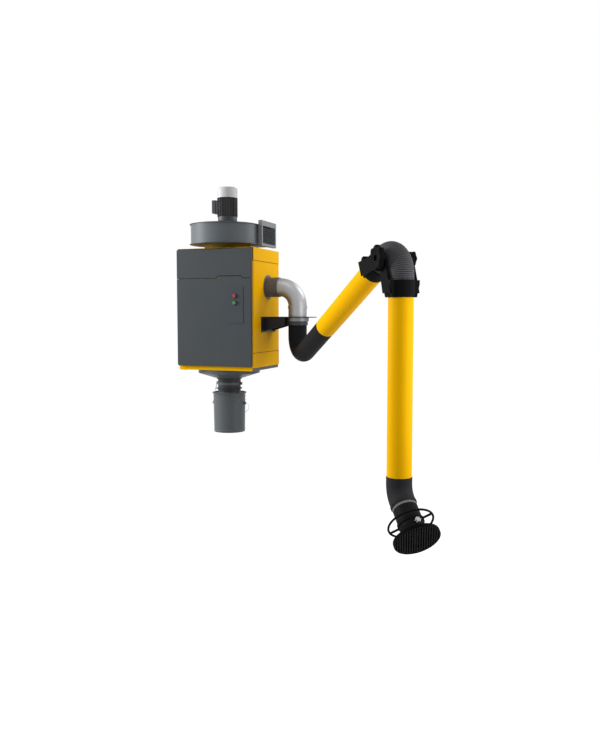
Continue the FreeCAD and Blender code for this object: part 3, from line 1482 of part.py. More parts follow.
def hood_hose():
    """Smooth hose from the outer tube's end, round a gentle bend to the hood's ring."""
    start = float(tube_gap - size.hood_hose_lap)
    points = [FreeCAD.Vector(0, 0, start), FreeCAD.Vector(0, 0, 0)]
    points = [hang_frame.multVec(point) for point in points]
    points.append(hood_frame.multVec(FreeCAD.Vector(0, 0, float(size.hood_hose_end))))
    path = path_wire(points, [float(size.hood_hose_bend)])
    outer = round_sweep(path, float(size.hood_hose_radius))
    bore = round_sweep(path, float(hood_bore))
    piece = doc.addObject("Part::Feature", "hose")
    piece.Shape = outer.cut(bore)
    sub_part("hood_hose", piece)


def hood_collar():
    """Collar that turns in the outer tube's end and carries the hood's pivot."""
    plug = size.tube_radius - size.tube_sheet - size.fit_gap
    cuff = hood_bore - size.fit_gap
    wall = size.hood_neck_sheet
    end = tube_gap
    tube = turned([
        (plug - wall, end - size.hood_collar_rise), (plug, end - size.hood_collar_rise),
        (plug, end + size.fit_gap),
        (cuff, end + size.fit_gap), (cuff, end + size.hood_collar_drop),
        (plug - wall, end + size.hood_collar_drop),
    ])
    reach = plug - size.fit_gap
    bridge_z = (end + size.hood_collar_drop - size.pivot_plate * 2, end + size.hood_collar_drop)
    bridge = box((-half_bar, half_bar), (-reach, reach), bridge_z)
    points = [(-half_bar, bridge_z[0]), (half_bar, bridge_z[0]), (half_bar, as_size(0)),
            (-half_bar, as_size(0))]
    bars = pivot_bars(points, yoke_inner, yoke_outer)
    centre = (as_size(0), as_size(0))
    bosses = []
    for low, high in ((yoke_inner, yoke_outer), (-yoke_outer, -yoke_inner)):
        bosses.append(rod("y", half_bar, (low, high), centre))
    pin = rod("y", size.pivot_pin_radius, (-yoke_outer, yoke_outer), centre)
    sub_part("hood_collar", fuse(tube, bridge, pin, *bars, *bosses), hang_frame)


def hood():
    """Moulded neck and cone, the slotted flange round the mouth, and the ring handle."""
    skin = size.hood_neck_sheet
    spigot = hood_bore - size.fit_gap
    ring_z = (size.hood_hose_end + size.fit_gap, size.hood_hose_end + size.fit_gap + size.hood_ring_height)
    start = size.hood_hose_end - size.hood_spigot
    bore = size.hood_neck_radius - skin
    shell = turned([
        (spigot, start), (spigot, ring_z[0]), (size.hood_ring_radius, ring_z[0]),
        (size.hood_ring_radius, ring_z[1]),
        (size.hood_neck_radius, ring_z[1] + size.hood_ring_height),
        (size.hood_neck_radius, size.hood_neck_end),
        (size.hood_cone_radius, size.hood_cone_end), (size.hood_cone_radius - skin, size.hood_cone_end),
        (bore, size.hood_neck_end), (bore, start),
    ])
    web_z = (start, start + size.pivot_plate * 2)
    web_reach = bore + size.hood_web_bite
    web = box((-web_reach, web_reach), (-fork_outer, fork_outer), web_z)
    centre = (as_size(0), as_size(0))
    tongue_points = [(-half_bar, web_z[1]), (half_bar, web_z[1]), (half_bar, as_size(0)),
            (-half_bar, as_size(0))]
    tongues = pivot_bars(tongue_points, fork_inner, fork_outer)
    bosses = []
    for low, high in ((fork_inner, fork_outer), (-fork_outer, -fork_inner)):
        bosses.append(rod("y", half_bar, (low, high), centre))
    pin_hole = rod("y", size.pivot_pin_radius + size.run_gap, (-yoke_outer, yoke_outer), centre)
    shaft_hole = damper_rod(size.damper_shaft_radius + size.run_gap,
            (-size.hood_ring_radius, size.hood_ring_radius))
    sub_part("hood_neck", cut(fuse(shell, web, *tongues, *bosses), pin_hole, shaft_hole), hood_frame)

    disc_z = (size.hood_cone_end, size.hood_cone_end + size.hood_disc_height)
    inner = size.hood_cone_radius - skin
    rim = size.hood_disc_radius
    hoop = ring(rim - size.hood_rim_width, rim, disc_z)
    hub = ring(inner, inner + size.hood_rim_width, disc_z)
    fin = box((inner + size.hood_rim_width / 2, rim - size.hood_rim_width / 2),
              (-size.hood_fin_sheet / 2, size.hood_fin_sheet / 2), disc_z)
    back = ring(inner, rim, (size.hood_cone_end, size.hood_cone_end + size.hood_disc_sheet))
    sub_part("hood_flange", fuse(hoop, hub, back, *spun(fin, count.hood_fins)), hood_frame)

    grip = doc.addObject("Part::Torus", "grip")
    bind(grip, "Radius1", size.handle_radius)
    bind(grip, "Radius2", size.handle_grip)
    bind(grip, "Placement.Base.z", size.handle_reach)
    collar_z = (size.handle_reach - size.handle_collar_height / 2,
            size.handle_reach + size.handle_collar_height / 2)
    seat = size.hood_neck_radius + size.seat_gap
    cuff = ring(seat, seat + size.handle_collar, collar_z)
    spokes = []
    for low, high in ((seat + 1, size.handle_radius), (-size.handle_radius, -seat - 1)):
        spokes.append(box((-size.spoke_width / 2, size.spoke_width / 2), (low, high),
                          (size.handle_reach - size.spoke_sheet / 2,
                          size.handle_reach + size.spoke_sheet / 2)))
    handle_frame = hood_frame * FreeCAD.Placement(FreeCAD.Vector(), turned_about_z(size.handle_turn))
    sub_part("ring_handle", fuse(grip, cuff, *spokes), handle_frame)


damper_turn = turned_about_z(size.damper_heading)
damper_frame = hood_frame * FreeCAD.Placement(vector(0, 0, size.damper_reach), damper_turn)


def damper_rod(radius, span):
    """A bar on the damper's axis, in the hood's frame."""
    bar = rod("x", radius, span, (as_size(0), as_size(0)))
    return moved(bar, FreeCAD.Placement(vector(0, 0, size.damper_reach), damper_turn))


def damper():
    """Round damper plate on a shaft through the neck, with a star knob outside."""
    radius = size.hood_neck_radius - size.hood_neck_sheet - size.damper_gap
    outside = size.hood_neck_radius + size.handle_collar
    knob_x = (outside, outside + size.knob_height)
    origin = (as_size(0), as_size(0))
    disc = rod("y", radius, (-size.damper_sheet / 2, size.damper_sheet / 2), origin)
    shaft = rod("x", size.damper_shaft_radius, (-size.hood_neck_radius, outside), origin)
    sub_part("damper_plate", fuse(disc, shaft), damper_frame)
    hub = rod("x", size.knob_radius * 0.6, knob_x, origin)
    points = []
    for angle in around(count.knob_points):
        lobe = rod("x", size.knob_radius * 0.25, knob_x, (
            float(size.knob_radius) * 0.75 * math.cos(math.radians(angle)),
            float(size.knob_radius) * 0.75 * math.sin(math.radians(angle))))
        points.append(lobe)
    sub_part("damper_knob", fuse(hub, *points), damper_frame)


wall_frame()
casing()
front_panels()
hinge_pins()
door_gasket()
control_panel()
push_button("stop_button", stop_z)
push_button("start_button", start_z)
filter_set()
inlet_baffle()
pulse_air()
dust_side()
band_clamp()
bucket_set()
bucket_bail()
fan_housing()
fan_inside()
motor()
inlet_duct()
arm_bracket()
swivel()
base_fork()
base_hose()
elbow_hose()
arm_tubes()
hood_hose()
hood_collar()
hood()
damper()

doc.recompute()
for thing in doc.Objects:
    if "Invalid" in thing.State or "Error" in thing.State:
        raise RuntimeError(f"{thing.Label} did not build: {thing.State}")
os.makedirs("parts", exist_ok=True)
for thing in PARTS:
    if thing.Shape.isNull() or not thing.Shape.isValid():
        raise RuntimeError(f"{thing.Label} has no sound shape")
for thing in PARTS:
    thing.Shape.exportStep(f"parts/{thing.Label}.step")
print(len(PARTS), "sub-parts written")
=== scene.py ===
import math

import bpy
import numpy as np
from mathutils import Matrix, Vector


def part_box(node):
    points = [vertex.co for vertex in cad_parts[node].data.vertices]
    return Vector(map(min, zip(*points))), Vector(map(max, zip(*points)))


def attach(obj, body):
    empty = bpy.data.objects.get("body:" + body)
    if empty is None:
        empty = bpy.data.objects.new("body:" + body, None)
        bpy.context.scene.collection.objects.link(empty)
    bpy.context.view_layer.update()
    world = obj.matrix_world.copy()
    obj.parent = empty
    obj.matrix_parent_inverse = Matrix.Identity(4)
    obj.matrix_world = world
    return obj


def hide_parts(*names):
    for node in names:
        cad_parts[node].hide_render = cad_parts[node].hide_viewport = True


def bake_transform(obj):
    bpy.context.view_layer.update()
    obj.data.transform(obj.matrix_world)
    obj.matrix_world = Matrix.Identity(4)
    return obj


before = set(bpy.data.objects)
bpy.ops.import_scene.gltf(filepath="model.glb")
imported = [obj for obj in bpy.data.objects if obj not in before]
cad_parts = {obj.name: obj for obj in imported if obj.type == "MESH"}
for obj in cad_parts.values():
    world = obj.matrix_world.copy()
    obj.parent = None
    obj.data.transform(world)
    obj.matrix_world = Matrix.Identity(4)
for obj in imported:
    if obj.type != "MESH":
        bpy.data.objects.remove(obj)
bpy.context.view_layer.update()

# %% [markdown]
# # A fume filtration unit, dressed for a picture
# The unit hangs on a wall: a boxed cabinet with a fan on its roof, a dust bucket below it, and a long
# jointed arm that brings a hood to the work. The hard pieces come from the CAD frame that was loaded above,
# and they are never moved here. This lesson gives them their finishes, makes the three hoses, the elbow's
# hand wheels and the hood's guard, and sets up the floor, the light and the camera.

# %% [markdown]
# ## Writing materials like sums
# A material in Blender is a graph of nodes. Wiring each one by hand hides the idea, so a small class
# stands for "the value on this wire". Adding or multiplying two of them makes the math node and joins it up,
# and one method makes every other kind of node. Then a finish reads like the sum it is.

# %% Shader sums


class Wire:
    """A value in a node tree that can be used in sums."""

    def __init__(self, graph, socket):
        self.graph = graph
        self.socket = socket

    def sum(self, operation, first, second):
        return self.graph.node("ShaderNodeMath", {0: first, 1: second}, operation=operation)

    def __add__(self, other):
        return self.sum("ADD", self, other)

    def __sub__(self, other):
        return self.sum("SUBTRACT", self, other)

    def __mul__(self, other):
        return self.sum("MULTIPLY", self, other)

    def __rsub__(self, other):
        return self.sum("SUBTRACT", other, self)

    def __gt__(self, other):
        return self.sum("GREATER_THAN", self, other)

    def __lt__(self, other):
        return self.sum("LESS_THAN", self, other)


class Graph:
    """A node tree, of a material or of the sky, that sums can be written in."""

    def __init__(self, tree):
        self.tree = tree

    def node(self, kind, inputs, output=0, **settings):
        """Any node: its settings, its inputs by name or number, and the output to go on with."""
        made = self.tree.nodes.new(kind)
        for setting, value in settings.items():
            setattr(made, setting, value)
        for key, value in inputs.items():
            self.join(made.inputs[key], value)
        return Wire(self, made.outputs[output])

    def join(self, socket, value):
        if isinstance(value, Wire):
            self.tree.links.new(value.socket, socket)
        else:
            socket.default_value = value

    def parts(self, wire):
        """The three numbers of a vector, each as a wire of its own."""
        split = self.node("ShaderNodeSeparateXYZ", {0: wire}).socket.node
        return [Wire(self, socket) for socket in split.outputs]


class Finish(Graph):
    """A material with one surface shader, filled in by sums of wires."""

    def __init__(self, name):
        self.material = bpy.data.materials.new(name)
        self.material.use_nodes = True
        super().__init__(self.material.node_tree)
        self.surface = self.tree.nodes["Principled BSDF"]

    def set(self, **inputs):
        """Surface inputs, such as Base_Color; a wire is joined and a number is set."""
        for key, value in inputs.items():
            self.join(self.surface.inputs[key.replace("_", " ")], value)

    def place(self):
        return self.node("ShaderNodeTexCoord", {}, output="Object")

    def axes(self):
        """Where a point is, as three separate wires in metres."""
        return self.parts(self.place())

    def noise(self, scale, detail=2.0, vector=None):
        spot = self.place() if vector is None else vector
        return self.node("ShaderNodeTexNoise", {"Vector": spot, "Scale": scale, "Detail": detail})

    def swing(self, noise, middle, spread):
        """A number that swings about a middle, as noise does about a half."""
        return noise * spread + (middle - spread / 2)

    def sine(self, wire):
        return self.node("ShaderNodeMath", {0: wire}, operation="SINE")

    def mix(self, share, low, high):
        """A colour between two colours."""
        return self.node("ShaderNodeMix", {"Factor": share, 6: low, 7: high}, output=2, data_type="RGBA")

    def bump(self, height, strength, distance):
        return self.node("ShaderNodeBump", {"Height": height, "Strength": strength, "Distance": distance})


def linear(red, green, blue):
    """A screen colour in 0 to 255 as the light it stands for, by the sRGB curve."""
    shown = np.array([red, green, blue]) / 255
    light = np.where(shown <= 0.04045, shown / 12.92, ((shown + 0.055) / 1.055) ** 2.4)
    return (*light.tolist(), 1.0)


def dimmed(colour, share):
    """A colour with only a share of its light."""
    return (*(part * share for part in colour[:3]), 1.0)


print("a mid grey of 128 is", [round(part, 3) for part in linear(128, 128, 128)[:3]])

# %% [markdown]
# ## Painted sheet metal
# The cabinet, the fan and the arm's tubes are steel with a baked powder coat. Such paint is never quite
# smooth: it has a fine orange-peel grain, and its gloss drifts a little from place to place.
# A picture of paint would stretch over pieces of such different sizes, so the grain is noise
# measured in metres, which is the same size on all of them.

# %% Powder coat
grain_depth = 0.0002


def powder_coat(name, colour, roughness, shine=0.25):
    drift, broad_spread, peel_spread = 0.06, 0.12, 0.08
    finish = Finish(name)
    broad = finish.noise(scale=3.0, detail=3.0)
    peel = finish.noise(scale=700.0)
    finish.shade = finish.mix(broad, dimmed(colour, 1 - drift), colour)
    least = roughness - (broad_spread + peel_spread) / 2
    finish.set(
        Base_Color=finish.shade,
        Roughness=broad * broad_spread + peel * peel_spread + least,
        Normal=finish.bump(peel, strength=0.1, distance=grain_depth),
        Specular_IOR_Level=shine,
    )
    return finish


warm_yellow = linear(255, 191, 2)
yellow = powder_coat("yellow_paint", warm_yellow, 0.45, 0.03)
casing = powder_coat("casing_paint", warm_yellow, 0.45, 0.03)
# The fan collar is yellow, darkened here with painted shade for the shadow under the drum.
collar_yellow_painted_shade = powder_coat("collar_paint_painted_shade", linear(120, 98, 24), 0.5, 0.03)
dark = powder_coat("dark_paint", linear(72, 77, 80), 0.5, 0.15)
fan_grey = powder_coat("fan_paint", linear(104, 110, 115), 0.45, 0.15)
bucket_grey = powder_coat("bucket_paint", linear(88, 93, 96), 0.42)
sleeve_grey = powder_coat("sleeve_paint", linear(58, 61, 63), 0.5, 0.15)
frame_grey = powder_coat("frame_paint", linear(96, 100, 102), 0.5)
pale = powder_coat("pale_paint", linear(206, 207, 209), 0.4)
cowl_grey = powder_coat("cowl_paint", linear(210, 211, 213), 0.4, 0.15)
collar_grey = powder_coat("collar_paint", linear(92, 92, 96), 0.42)
black_steel = powder_coat("black_paint", linear(30, 30, 32), 0.45, 0.2)
motor_grey = powder_coat("motor_paint", linear(70, 70, 73), 0.45)
print("materials so far, with the frame's own:", len(bpy.data.materials))

# %% [markdown]
# ## Moulded plastic
# The elbow's halves, the hood and its handle are black plastic out of a mould that was etched to a fine
# grain, so they look soft and grey at a glancing angle. The grain is two sizes of noise added together.
# The flange round the mouth lies in its own shade, and that shade is painted into it as a blacker colour, so
# that the guard's bars stand out from it.

# %% Plastic


def moulded(name, colour, roughness, shine=0.03):
    coarse_share, spread = 0.6, 0.1
    finish = Finish(name)
    grain = finish.noise(scale=900.0) + finish.noise(scale=260.0) * coarse_share
    finish.set(
        Base_Color=colour,
        Roughness=grain * spread + (roughness - spread * (1 + coarse_share) / 2),
        Normal=finish.bump(grain, strength=0.2, distance=grain_depth),
        Specular_IOR_Level=shine,
    )
    return finish


def gloss(name, colour):
    finish = Finish(name)
    scuff = finish.noise(scale=120.0, detail=4.0)
    finish.set(
        Base_Color=colour,
        Roughness=finish.swing(scuff, middle=0.24, spread=0.12),
        Coat_Weight=0.4,
        Coat_Roughness=0.1,
    )
    return finish


black_plastic = moulded("black_plastic", linear(18, 18, 19), 0.6)
# The mouth's flange is blacker than the other black plastic by painted shade.
mouth_plastic_painted_shade = moulded("mouth_plastic_painted_shade", linear(10, 10, 11), 0.65, 0.02)
guard_plastic = moulded("guard_plastic", linear(44, 44, 45), 0.6)
grey_plastic = moulded("grey_plastic", linear(190, 192, 194), 0.45, 0.3)
panel_plastic = moulded("panel_plastic", linear(71, 77, 82), 0.4, 0.15)
red_cap = gloss("red_cap", linear(170, 22, 58))
green_cap = gloss("green_cap", linear(54, 128, 58))
print("plastic finishes ready")

# %% [markdown]
# ## Bare metal
# Pins, the clamp's lever, the bail and the inlet duct are bare or plated metal. Brushed steel has fine
# scratches that all run one way, which is noise drawn out along that way: here it changes slowly in the
# level directions and fast going up. The duct, the bearings and the swivel's housing are even all ways.

# %% Metal


def brushed(name, colour, roughness, fineness=(40.0, 40.0, 900.0)):
    finish = Finish(name)
    spot = finish.node("ShaderNodeVectorMath", {0: finish.place(), 1: fineness}, operation="MULTIPLY")
    lines = finish.noise(scale=1.0, detail=3.0, vector=spot)
    finish.set(
        Base_Color=colour,
        Metallic=1.0,
        Roughness=finish.swing(lines, roughness, spread=0.2),
        Normal=finish.bump(lines, strength=0.1, distance=0.0003),
    )
    return finish


steel = brushed("bright_steel", linear(196, 198, 200), 0.32)
wire = brushed("bail_wire", linear(205, 206, 208), 0.28)
duct_metal = brushed("duct_metal", linear(158, 159, 162), 0.5, fineness=(60.0, 60.0, 60.0))
cast = brushed("cast_metal", linear(120, 124, 128), 0.5, fineness=(300.0, 300.0, 300.0))
print("metal finishes ready")

# %% [markdown]
# ## Finishes that know where they are
# Some pieces are one solid in the CAD but two colours to the eye. The grille has a grey frame and slats
# painted darker, partly their own colour and partly painted shade from the gaps behind them. The casing has
# painted shade in the seams where its cap and tray meet the wrap, and its cap is dark at the front, round the
# cover.
# The hood's neck starts with a cuff in the hose's grey and then a pale ring, so its finish works out how far
# down the hood's own axis a point is. Every piece sits at the origin, so its object coordinates are also
# places in the room, and a few comparisons are enough to mark out a region.

# %% Grille, casing and neck


def inside(value, low, high):
    return (value > low) * (value < high)


frame_side, frame_top = 0.023, 0.045
# The slats are darker than the frame, partly their own colour and partly painted shade from the gaps behind
# them.
grille_frame, slat_grey_with_painted_shade = linear(122, 128, 132), linear(76, 79, 82)
grille = powder_coat("grille_paint", grille_frame, 0.45)
grille_low, grille_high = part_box("outlet_grille")
slats_low, slats_high = grille_low.z + frame_side, grille_high.z - frame_top
_, y, z = grille.axes()
window = inside(y, grille_low.y + frame_side, grille_high.y - frame_side)
window *= inside(z, slats_low, slats_high)
grille.set(Base_Color=grille.mix(window, grille_frame, slat_grey_with_painted_shade))

# The seams get painted shade: the yellow is darkened in a narrow band along each seam.
seam_half, front_skin = 0.0028, 0.003
seam_painted_shade, cap_front = linear(150, 104, 2), linear(30, 31, 32)
cap_low, tray_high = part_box("top_cap")[0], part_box("bottom_tray")[1]
_, y, z = casing.axes()
seams = inside(z, cap_low.z - seam_half, cap_low.z + seam_half)
seams += inside(z, tray_high.z - seam_half, tray_high.z + seam_half)
front = (y < cap_low.y + front_skin) * (z > cap_low.z)
shaded = casing.mix(seams, casing.shade, seam_painted_shade)
casing.set(Base_Color=casing.mix(front, shaded, cap_front))

hood_pivot = np.array([1.820018, -1.644034, -1.1975])
hood_heading, hood_tilt = math.radians(-52.9), math.radians(50.1)
hood_axis = np.array([
    math.sin(hood_tilt) * math.cos(hood_heading),
    math.sin(hood_tilt) * math.sin(hood_heading),
    -math.cos(hood_tilt),
])
cuff_end, ring_end = 0.1145, 0.1295
neck_black, cuff_grey, ring_grey = linear(24, 24, 25), linear(46, 46, 48), linear(112, 112, 115)
neck = moulded("neck_plastic", neck_black, 0.55)
x, y, z = neck.axes()
along = x * hood_axis[0] + y * hood_axis[1] + z * hood_axis[2] - float(hood_pivot @ hood_axis)
moulding = neck.mix(along < cuff_end, neck_black, cuff_grey)
neck.set(Base_Color=neck.mix(inside(along, cuff_end, ring_end), moulding, ring_grey))
print("grille window from", round(slats_low, 3), "to", round(slats_high, 3), "m")

# %% [markdown]
# ## The filter
# Behind the door is a cartridge of pleated cloth. Its solid is a plain ring, so the pleats are drawn as
# upright waves round the axis: the angle comes from the two level coordinates, and a sine of it
# gives the height for a bump.

# %% Pleats
pleat_count = 96
# The valleys of the pleats are coloured darker than the ridges as painted shade in the folds.
valley_painted_shade, ridge = linear(168, 162, 148), linear(232, 228, 216)
pleats = Finish("filter_cloth")
x, y, _ = pleats.axes()
centre = (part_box("filter_media")[0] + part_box("filter_media")[1]) / 2
turn = pleats.node("ShaderNodeMath", {0: y - centre.y, 1: x - centre.x}, operation="ARCTAN2")
fold = pleats.sine(turn * pleat_count)
pleats.set(
    Base_Color=pleats.mix(fold * 0.5 + 0.5, valley_painted_shade, ridge),
    Roughness=0.9,
    Normal=pleats.bump(fold, strength=0.8, distance=0.004),
)
foam = moulded("foam_rubber", linear(22, 22, 22), 0.85)
print("pleats round the cartridge:", pleat_count)

# %% [markdown]
# ## Giving each piece its finish
# The list follows what each piece is made of on the real unit. A piece that is left out would keep the plain
# colour of the CAD frame, so the last line counts them. Only the three hoses are left out, because the ones
# made further on stand in their place.

# %% Dress the frame
coats = [
    (casing, "casing_wrap top_cap bottom_tray"),
    (yellow, "inner_tube outer_tube"),
    (collar_yellow_painted_shade, "fan_collar"),
    (dark, "front_door upper_front_cover"),
    (fan_grey, "fan_housing"),
    (bucket_grey, "dust_bucket bucket_lid hopper"),
    (sleeve_grey, "dust_sleeve"),
    (frame_grey, "wall_frame tube_sheet inlet_baffle fan_inlet_cone impeller damper_plate"),
    (pale, "air_tank"),
    (duct_metal, "inlet_elbow duct_clamp"),
    (cowl_grey, "fan_cowl"),
    (collar_grey, "inlet_collar clamp_band"),
    (black_steel, "arm_bracket"),
    (motor_grey, "motor_frame terminal_box motor_flange swivel_sleeve"),
    (black_plastic, "inner_knuckle outer_knuckle ring_handle cooling_fan"),
    (mouth_plastic_painted_shade, "hood_flange"),
    (neck, "hood_neck"),
    (grille, "outlet_grille"),
    (grey_plastic, "damper_knob filter_top_ring filter_bottom_cap"),
    (panel_plastic, "control_panel"),
    (red_cap, "stop_button"),
    (green_cap, "start_button"),
    (steel, "hinge_pins tie_rod clamp_lever base_fork hood_collar rotor_shaft"),
    (wire, "bucket_bail"),
    (cast, "motor_bearings pulse_valve swivel_housing elbow_bolts"),
    (pleats, "filter_media"),
    (foam, "door_gasket"),
]
dressed = set()
for finish, names in coats:
    for name in names.split():
        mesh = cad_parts[name].data
        mesh.materials.clear()
        mesh.materials.append(finish.material)
        dressed.add(name)
print("pieces with a finish:", len(dressed), "of", len(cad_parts))

# %% [markdown]
# ## Hoses
# Three hoses carry the air past the arm's joints. Each follows straight runs with one round bend between,
# in an upright plane, so its line is easy to work out: points along a run, then an arc, then a run.
# Rings of points round that line make the skin. The inside wall is laid back along the same line,
# which closes the surface, and all of it is array arithmetic with no loop over the points.

# %% The line of a hose
hose_sides = 96


def bent_line(start, corner, end, radius, spacing):
    """Points and directions along two straight runs and the arc that joins them."""
    inward = (start - corner) / np.linalg.norm(start - corner)
    outward = (end - corner) / np.linalg.norm(end - corner)
    half = math.acos(float(inward @ outward)) / 2
    reach = radius / math.tan(half)
    middle = corner + (inward + outward) / np.linalg.norm(inward + outward) * radius / math.sin(half)
    turn = math.pi - 2 * half
    first, last = corner + inward * reach, corner + outward * reach
    lengths = [np.linalg.norm(first - start), radius * turn, np.linalg.norm(end - last)]
    total = sum(lengths)
    along = np.linspace(0, total, int(round(total / spacing)) + 1)[:, None]
    share = np.clip((along - lengths[0]) / lengths[1], 0, 1) * turn
    arc = middle + (first - middle) * np.cos(share) - inward * radius * np.sin(share)
    before = np.minimum(along - lengths[0], 0) * -inward
    after = np.maximum(along - lengths[0] - lengths[1], 0) * outward
    side = (first - middle) / radius
    direction = -inward * np.cos(share) - side * np.sin(share)
    return arc + before + after, direction, along[:, 0]


def rings(centres, directions, across, radii):
    """Rings of points square to a line; across is the same for them all."""
    up = np.cross(directions, across)
    angle = np.linspace(0, 2 * math.pi, hose_sides, endpoint=False)[None, :, None]
    radii = radii[:, None, None] if radii.ndim == 1 else radii[:, :, None]
    return centres[:, None] + radii * (np.cos(angle) * across + np.sin(angle) * up[:, None])


def closed_grid(name, points):
    """A mesh from rows of rings that close both ways, with a UV map of row and ring."""
    rows, sides, _ = points.shape
    row, side = np.meshgrid(np.arange(rows), np.arange(sides), indexing="ij")
    after, beside = (row + 1) % rows, (side + 1) % sides
    ring, next_ring = row * sides, after * sides
    corners = np.stack([ring + side, ring + beside, next_ring + beside, next_ring + side], -1)
    mesh = bpy.data.meshes.new(name)
    mesh.vertices.add(rows * sides)
    mesh.vertices.foreach_set("co", points.astype(np.float32).ravel())
    mesh.loops.add(corners.size)
    mesh.loops.foreach_set("vertex_index", corners.ravel().astype(np.int32))
    mesh.polygons.add(rows * sides)
    mesh.polygons.foreach_set("loop_start", np.arange(0, corners.size, 4, dtype=np.int32))
    mesh.polygons.foreach_set("use_smooth", np.ones(rows * sides, bool))
    mesh.update(calc_edges=True)
    layer = mesh.uv_layers.new(name="along_and_round")
    flat = np.stack([row, row, row + 1, row + 1], -1), np.stack([side, side + 1, side + 1, side], -1)
    uv = np.stack([flat[0] / rows, flat[1] / sides], -1)
    layer.data.foreach_set("uv", uv.astype(np.float32).ravel())
    piece = bpy.data.objects.new(name, mesh)
    bpy.context.scene.collection.objects.link(piece)
    return piece


def hose(name, line, across, outer, inner):
    """A hose with two walls; outer has a radius for each ring or for each point of it."""
    centres, directions, _ = line
    skin = rings(centres, directions, across, outer)
    lining = rings(centres, directions, across, np.full(len(centres), inner))
    return closed_grid(name, np.concatenate([skin, lining[::-1]]))


upward = np.array([0, 0, 1.0])
arm_yaw, rise = math.radians(41.45), math.radians(25.83)
base_drop, arm_reach = 0.449, 1.8045
swivel = np.array([0.6255, -0.2915, 0.0])
reach_way = np.array([math.sin(arm_yaw), -math.cos(arm_yaw), 0.0])
across = np.cross(upward, reach_way)


def in_plane(distance, height):
    """A point in the arm's upright plane."""
    return swivel + reach_way * distance + upward * height


base_corner = in_plane(0, -base_drop)
inner_way = reach_way * math.cos(rise) + upward * math.sin(rise)
elbow_corner = base_corner + inner_way * arm_reach / math.cos(rise)
print("elbow corner at", elbow_corner.round(3))

# %% [markdown]
# ## The base hose
# From the swivel a plain hose drops, turns and runs up into the first tube. It is coated cloth over a wire,
# smooth from a step away. On the inside of a bend the cloth has too much room and gathers in soft creases,
# so its radius is rippled there and nowhere else.

# %% Base hose


def creased(line, radius, depth, count):
    """Radius round each ring: soft creases on the inside of the bend."""
    smoothing = 9
    _, directions, along = line
    bend = np.linalg.norm(np.gradient(directions, axis=0), axis=1)
    bend = np.convolve(bend / bend.max(), np.ones(smoothing) / smoothing, mode="same")
    angle = np.linspace(0, 2 * math.pi, hose_sides, endpoint=False)
    inside_share = np.clip(np.sin(angle), 0, 1) ** 2
    wave = np.sin(along / along[-1] * count * 2 * math.pi)[:, None] - 1
    return radius + depth * bend[:, None] * inside_share[None] * wave


sleeve_end, tube_seat = -0.1462, 0.743
base_bend, base_radius, base_lining = 0.131, 0.0787, 0.0759
start, end = in_plane(0, sleeve_end), base_corner + inner_way * tube_seat
line = bent_line(start, base_corner, end, base_bend, spacing=0.006)
creases = creased(line, base_radius, depth=0.0012, count=44)
base_hose = hose("base_hose_skin", line, across, creases, base_lining)
print("base hose", round(line[2][-1], 3), "m long,", len(base_hose.data.polygons), "faces")

# %% [markdown]
# ## The elbow hose
# Over the elbow the hose is ribbed, so that it folds without flattening. A rib is a short rise and fall
# of the radius along the hose. A rounded wave with a flat crest looks like the real one, where cloth is
# stretched over a spring, and a power of the sine gives that shape.

# %% Elbow hose
rib_pitch, rib_height, rib_power, rings_per_rib = 0.009, 0.0039, 0.6, 8
elbow_bend, groove_radius, elbow_lining = 0.146, 0.0791, 0.0775
inner_cup, outer_cup, knuckle_seat = 0.428, 0.368, 0.0263
start = base_corner + inner_way * (arm_reach / math.cos(rise) - inner_cup + knuckle_seat)
end = in_plane(arm_reach, elbow_corner[2] - outer_cup + knuckle_seat)
line = bent_line(start, elbow_corner, end, elbow_bend, rib_pitch / rings_per_rib)
ribs = round(line[2][-1] / rib_pitch)
wave = np.abs(np.sin(line[2] / line[2][-1] * ribs * math.pi)) ** rib_power
elbow_hose = hose("elbow_hose_skin", line, across, groove_radius + rib_height * wave, elbow_lining)
print("elbow hose", round(line[2][-1], 3), "m long with", ribs, "ribs")

# %% [markdown]
# ## The hood hose
# The last hose joins the outer tube to the hood, and bends as far as the hood leans towards the work.
# Its plane is not the arm's but the one that the hood tilts in, so it has its own across direction.

# %% Hood hose
tube_gap, neck_seat = 0.109, 0.088
hood_bend, hood_radius, hood_lining = 0.136, 0.0843, 0.0815
hood_across = np.array([math.sin(hood_heading), -math.cos(hood_heading), 0.0])
start, end = hood_pivot + upward * tube_gap, hood_pivot + hood_axis * neck_seat
line = bent_line(start, hood_pivot, end, hood_bend, spacing=0.004)
creases = creased(line, hood_radius, depth=0.0009, count=18)
hood_hose = hose("hood_hose_skin", line, hood_across, creases, hood_lining)
print("hood hose", round(line[2][-1], 3), "m long")

# %% [markdown]
# ## Hubs at the elbow
# A big lobed hand wheel on the front of the elbow squeezes the friction discs that hold the arm up, against
# a small one on the back. A wheel is a ring whose rim swings in and out. Its section is a short closed line
# with a rounded top edge, given as shares of the way out and of the height, and carrying that line round
# the pivot gives the whole surface at once.

# %% Elbow hubs
wheel_sides = 144


def lobed_wheel(name, centre, axis, bore, rim, lobe, lobes, height):
    angle = np.linspace(0, 2 * math.pi, wheel_sides, endpoint=False)
    reach = rim + lobe * np.cos(lobes * angle) - bore
    share = np.array([0, 0.5, 0.97, 1, 1, 0.98, 0.93, 0.85, 0.45, 0.4, 0.3, 0.05, 0])
    lift = np.array([0, 0, 0, 0.05, 0.6, 0.8, 0.94, 1, 1, 0.9, 0.88, 0.88, 0.84])
    radius = bore + share[:, None] * reach[None]
    first = np.cross(axis, upward)
    second = np.cross(axis, first)
    flat = np.cos(angle)[None, :, None] * first + np.sin(angle)[None, :, None] * second
    return closed_grid(name, centre + radius[:, :, None] * flat + (lift * height)[:, None, None] * axis)


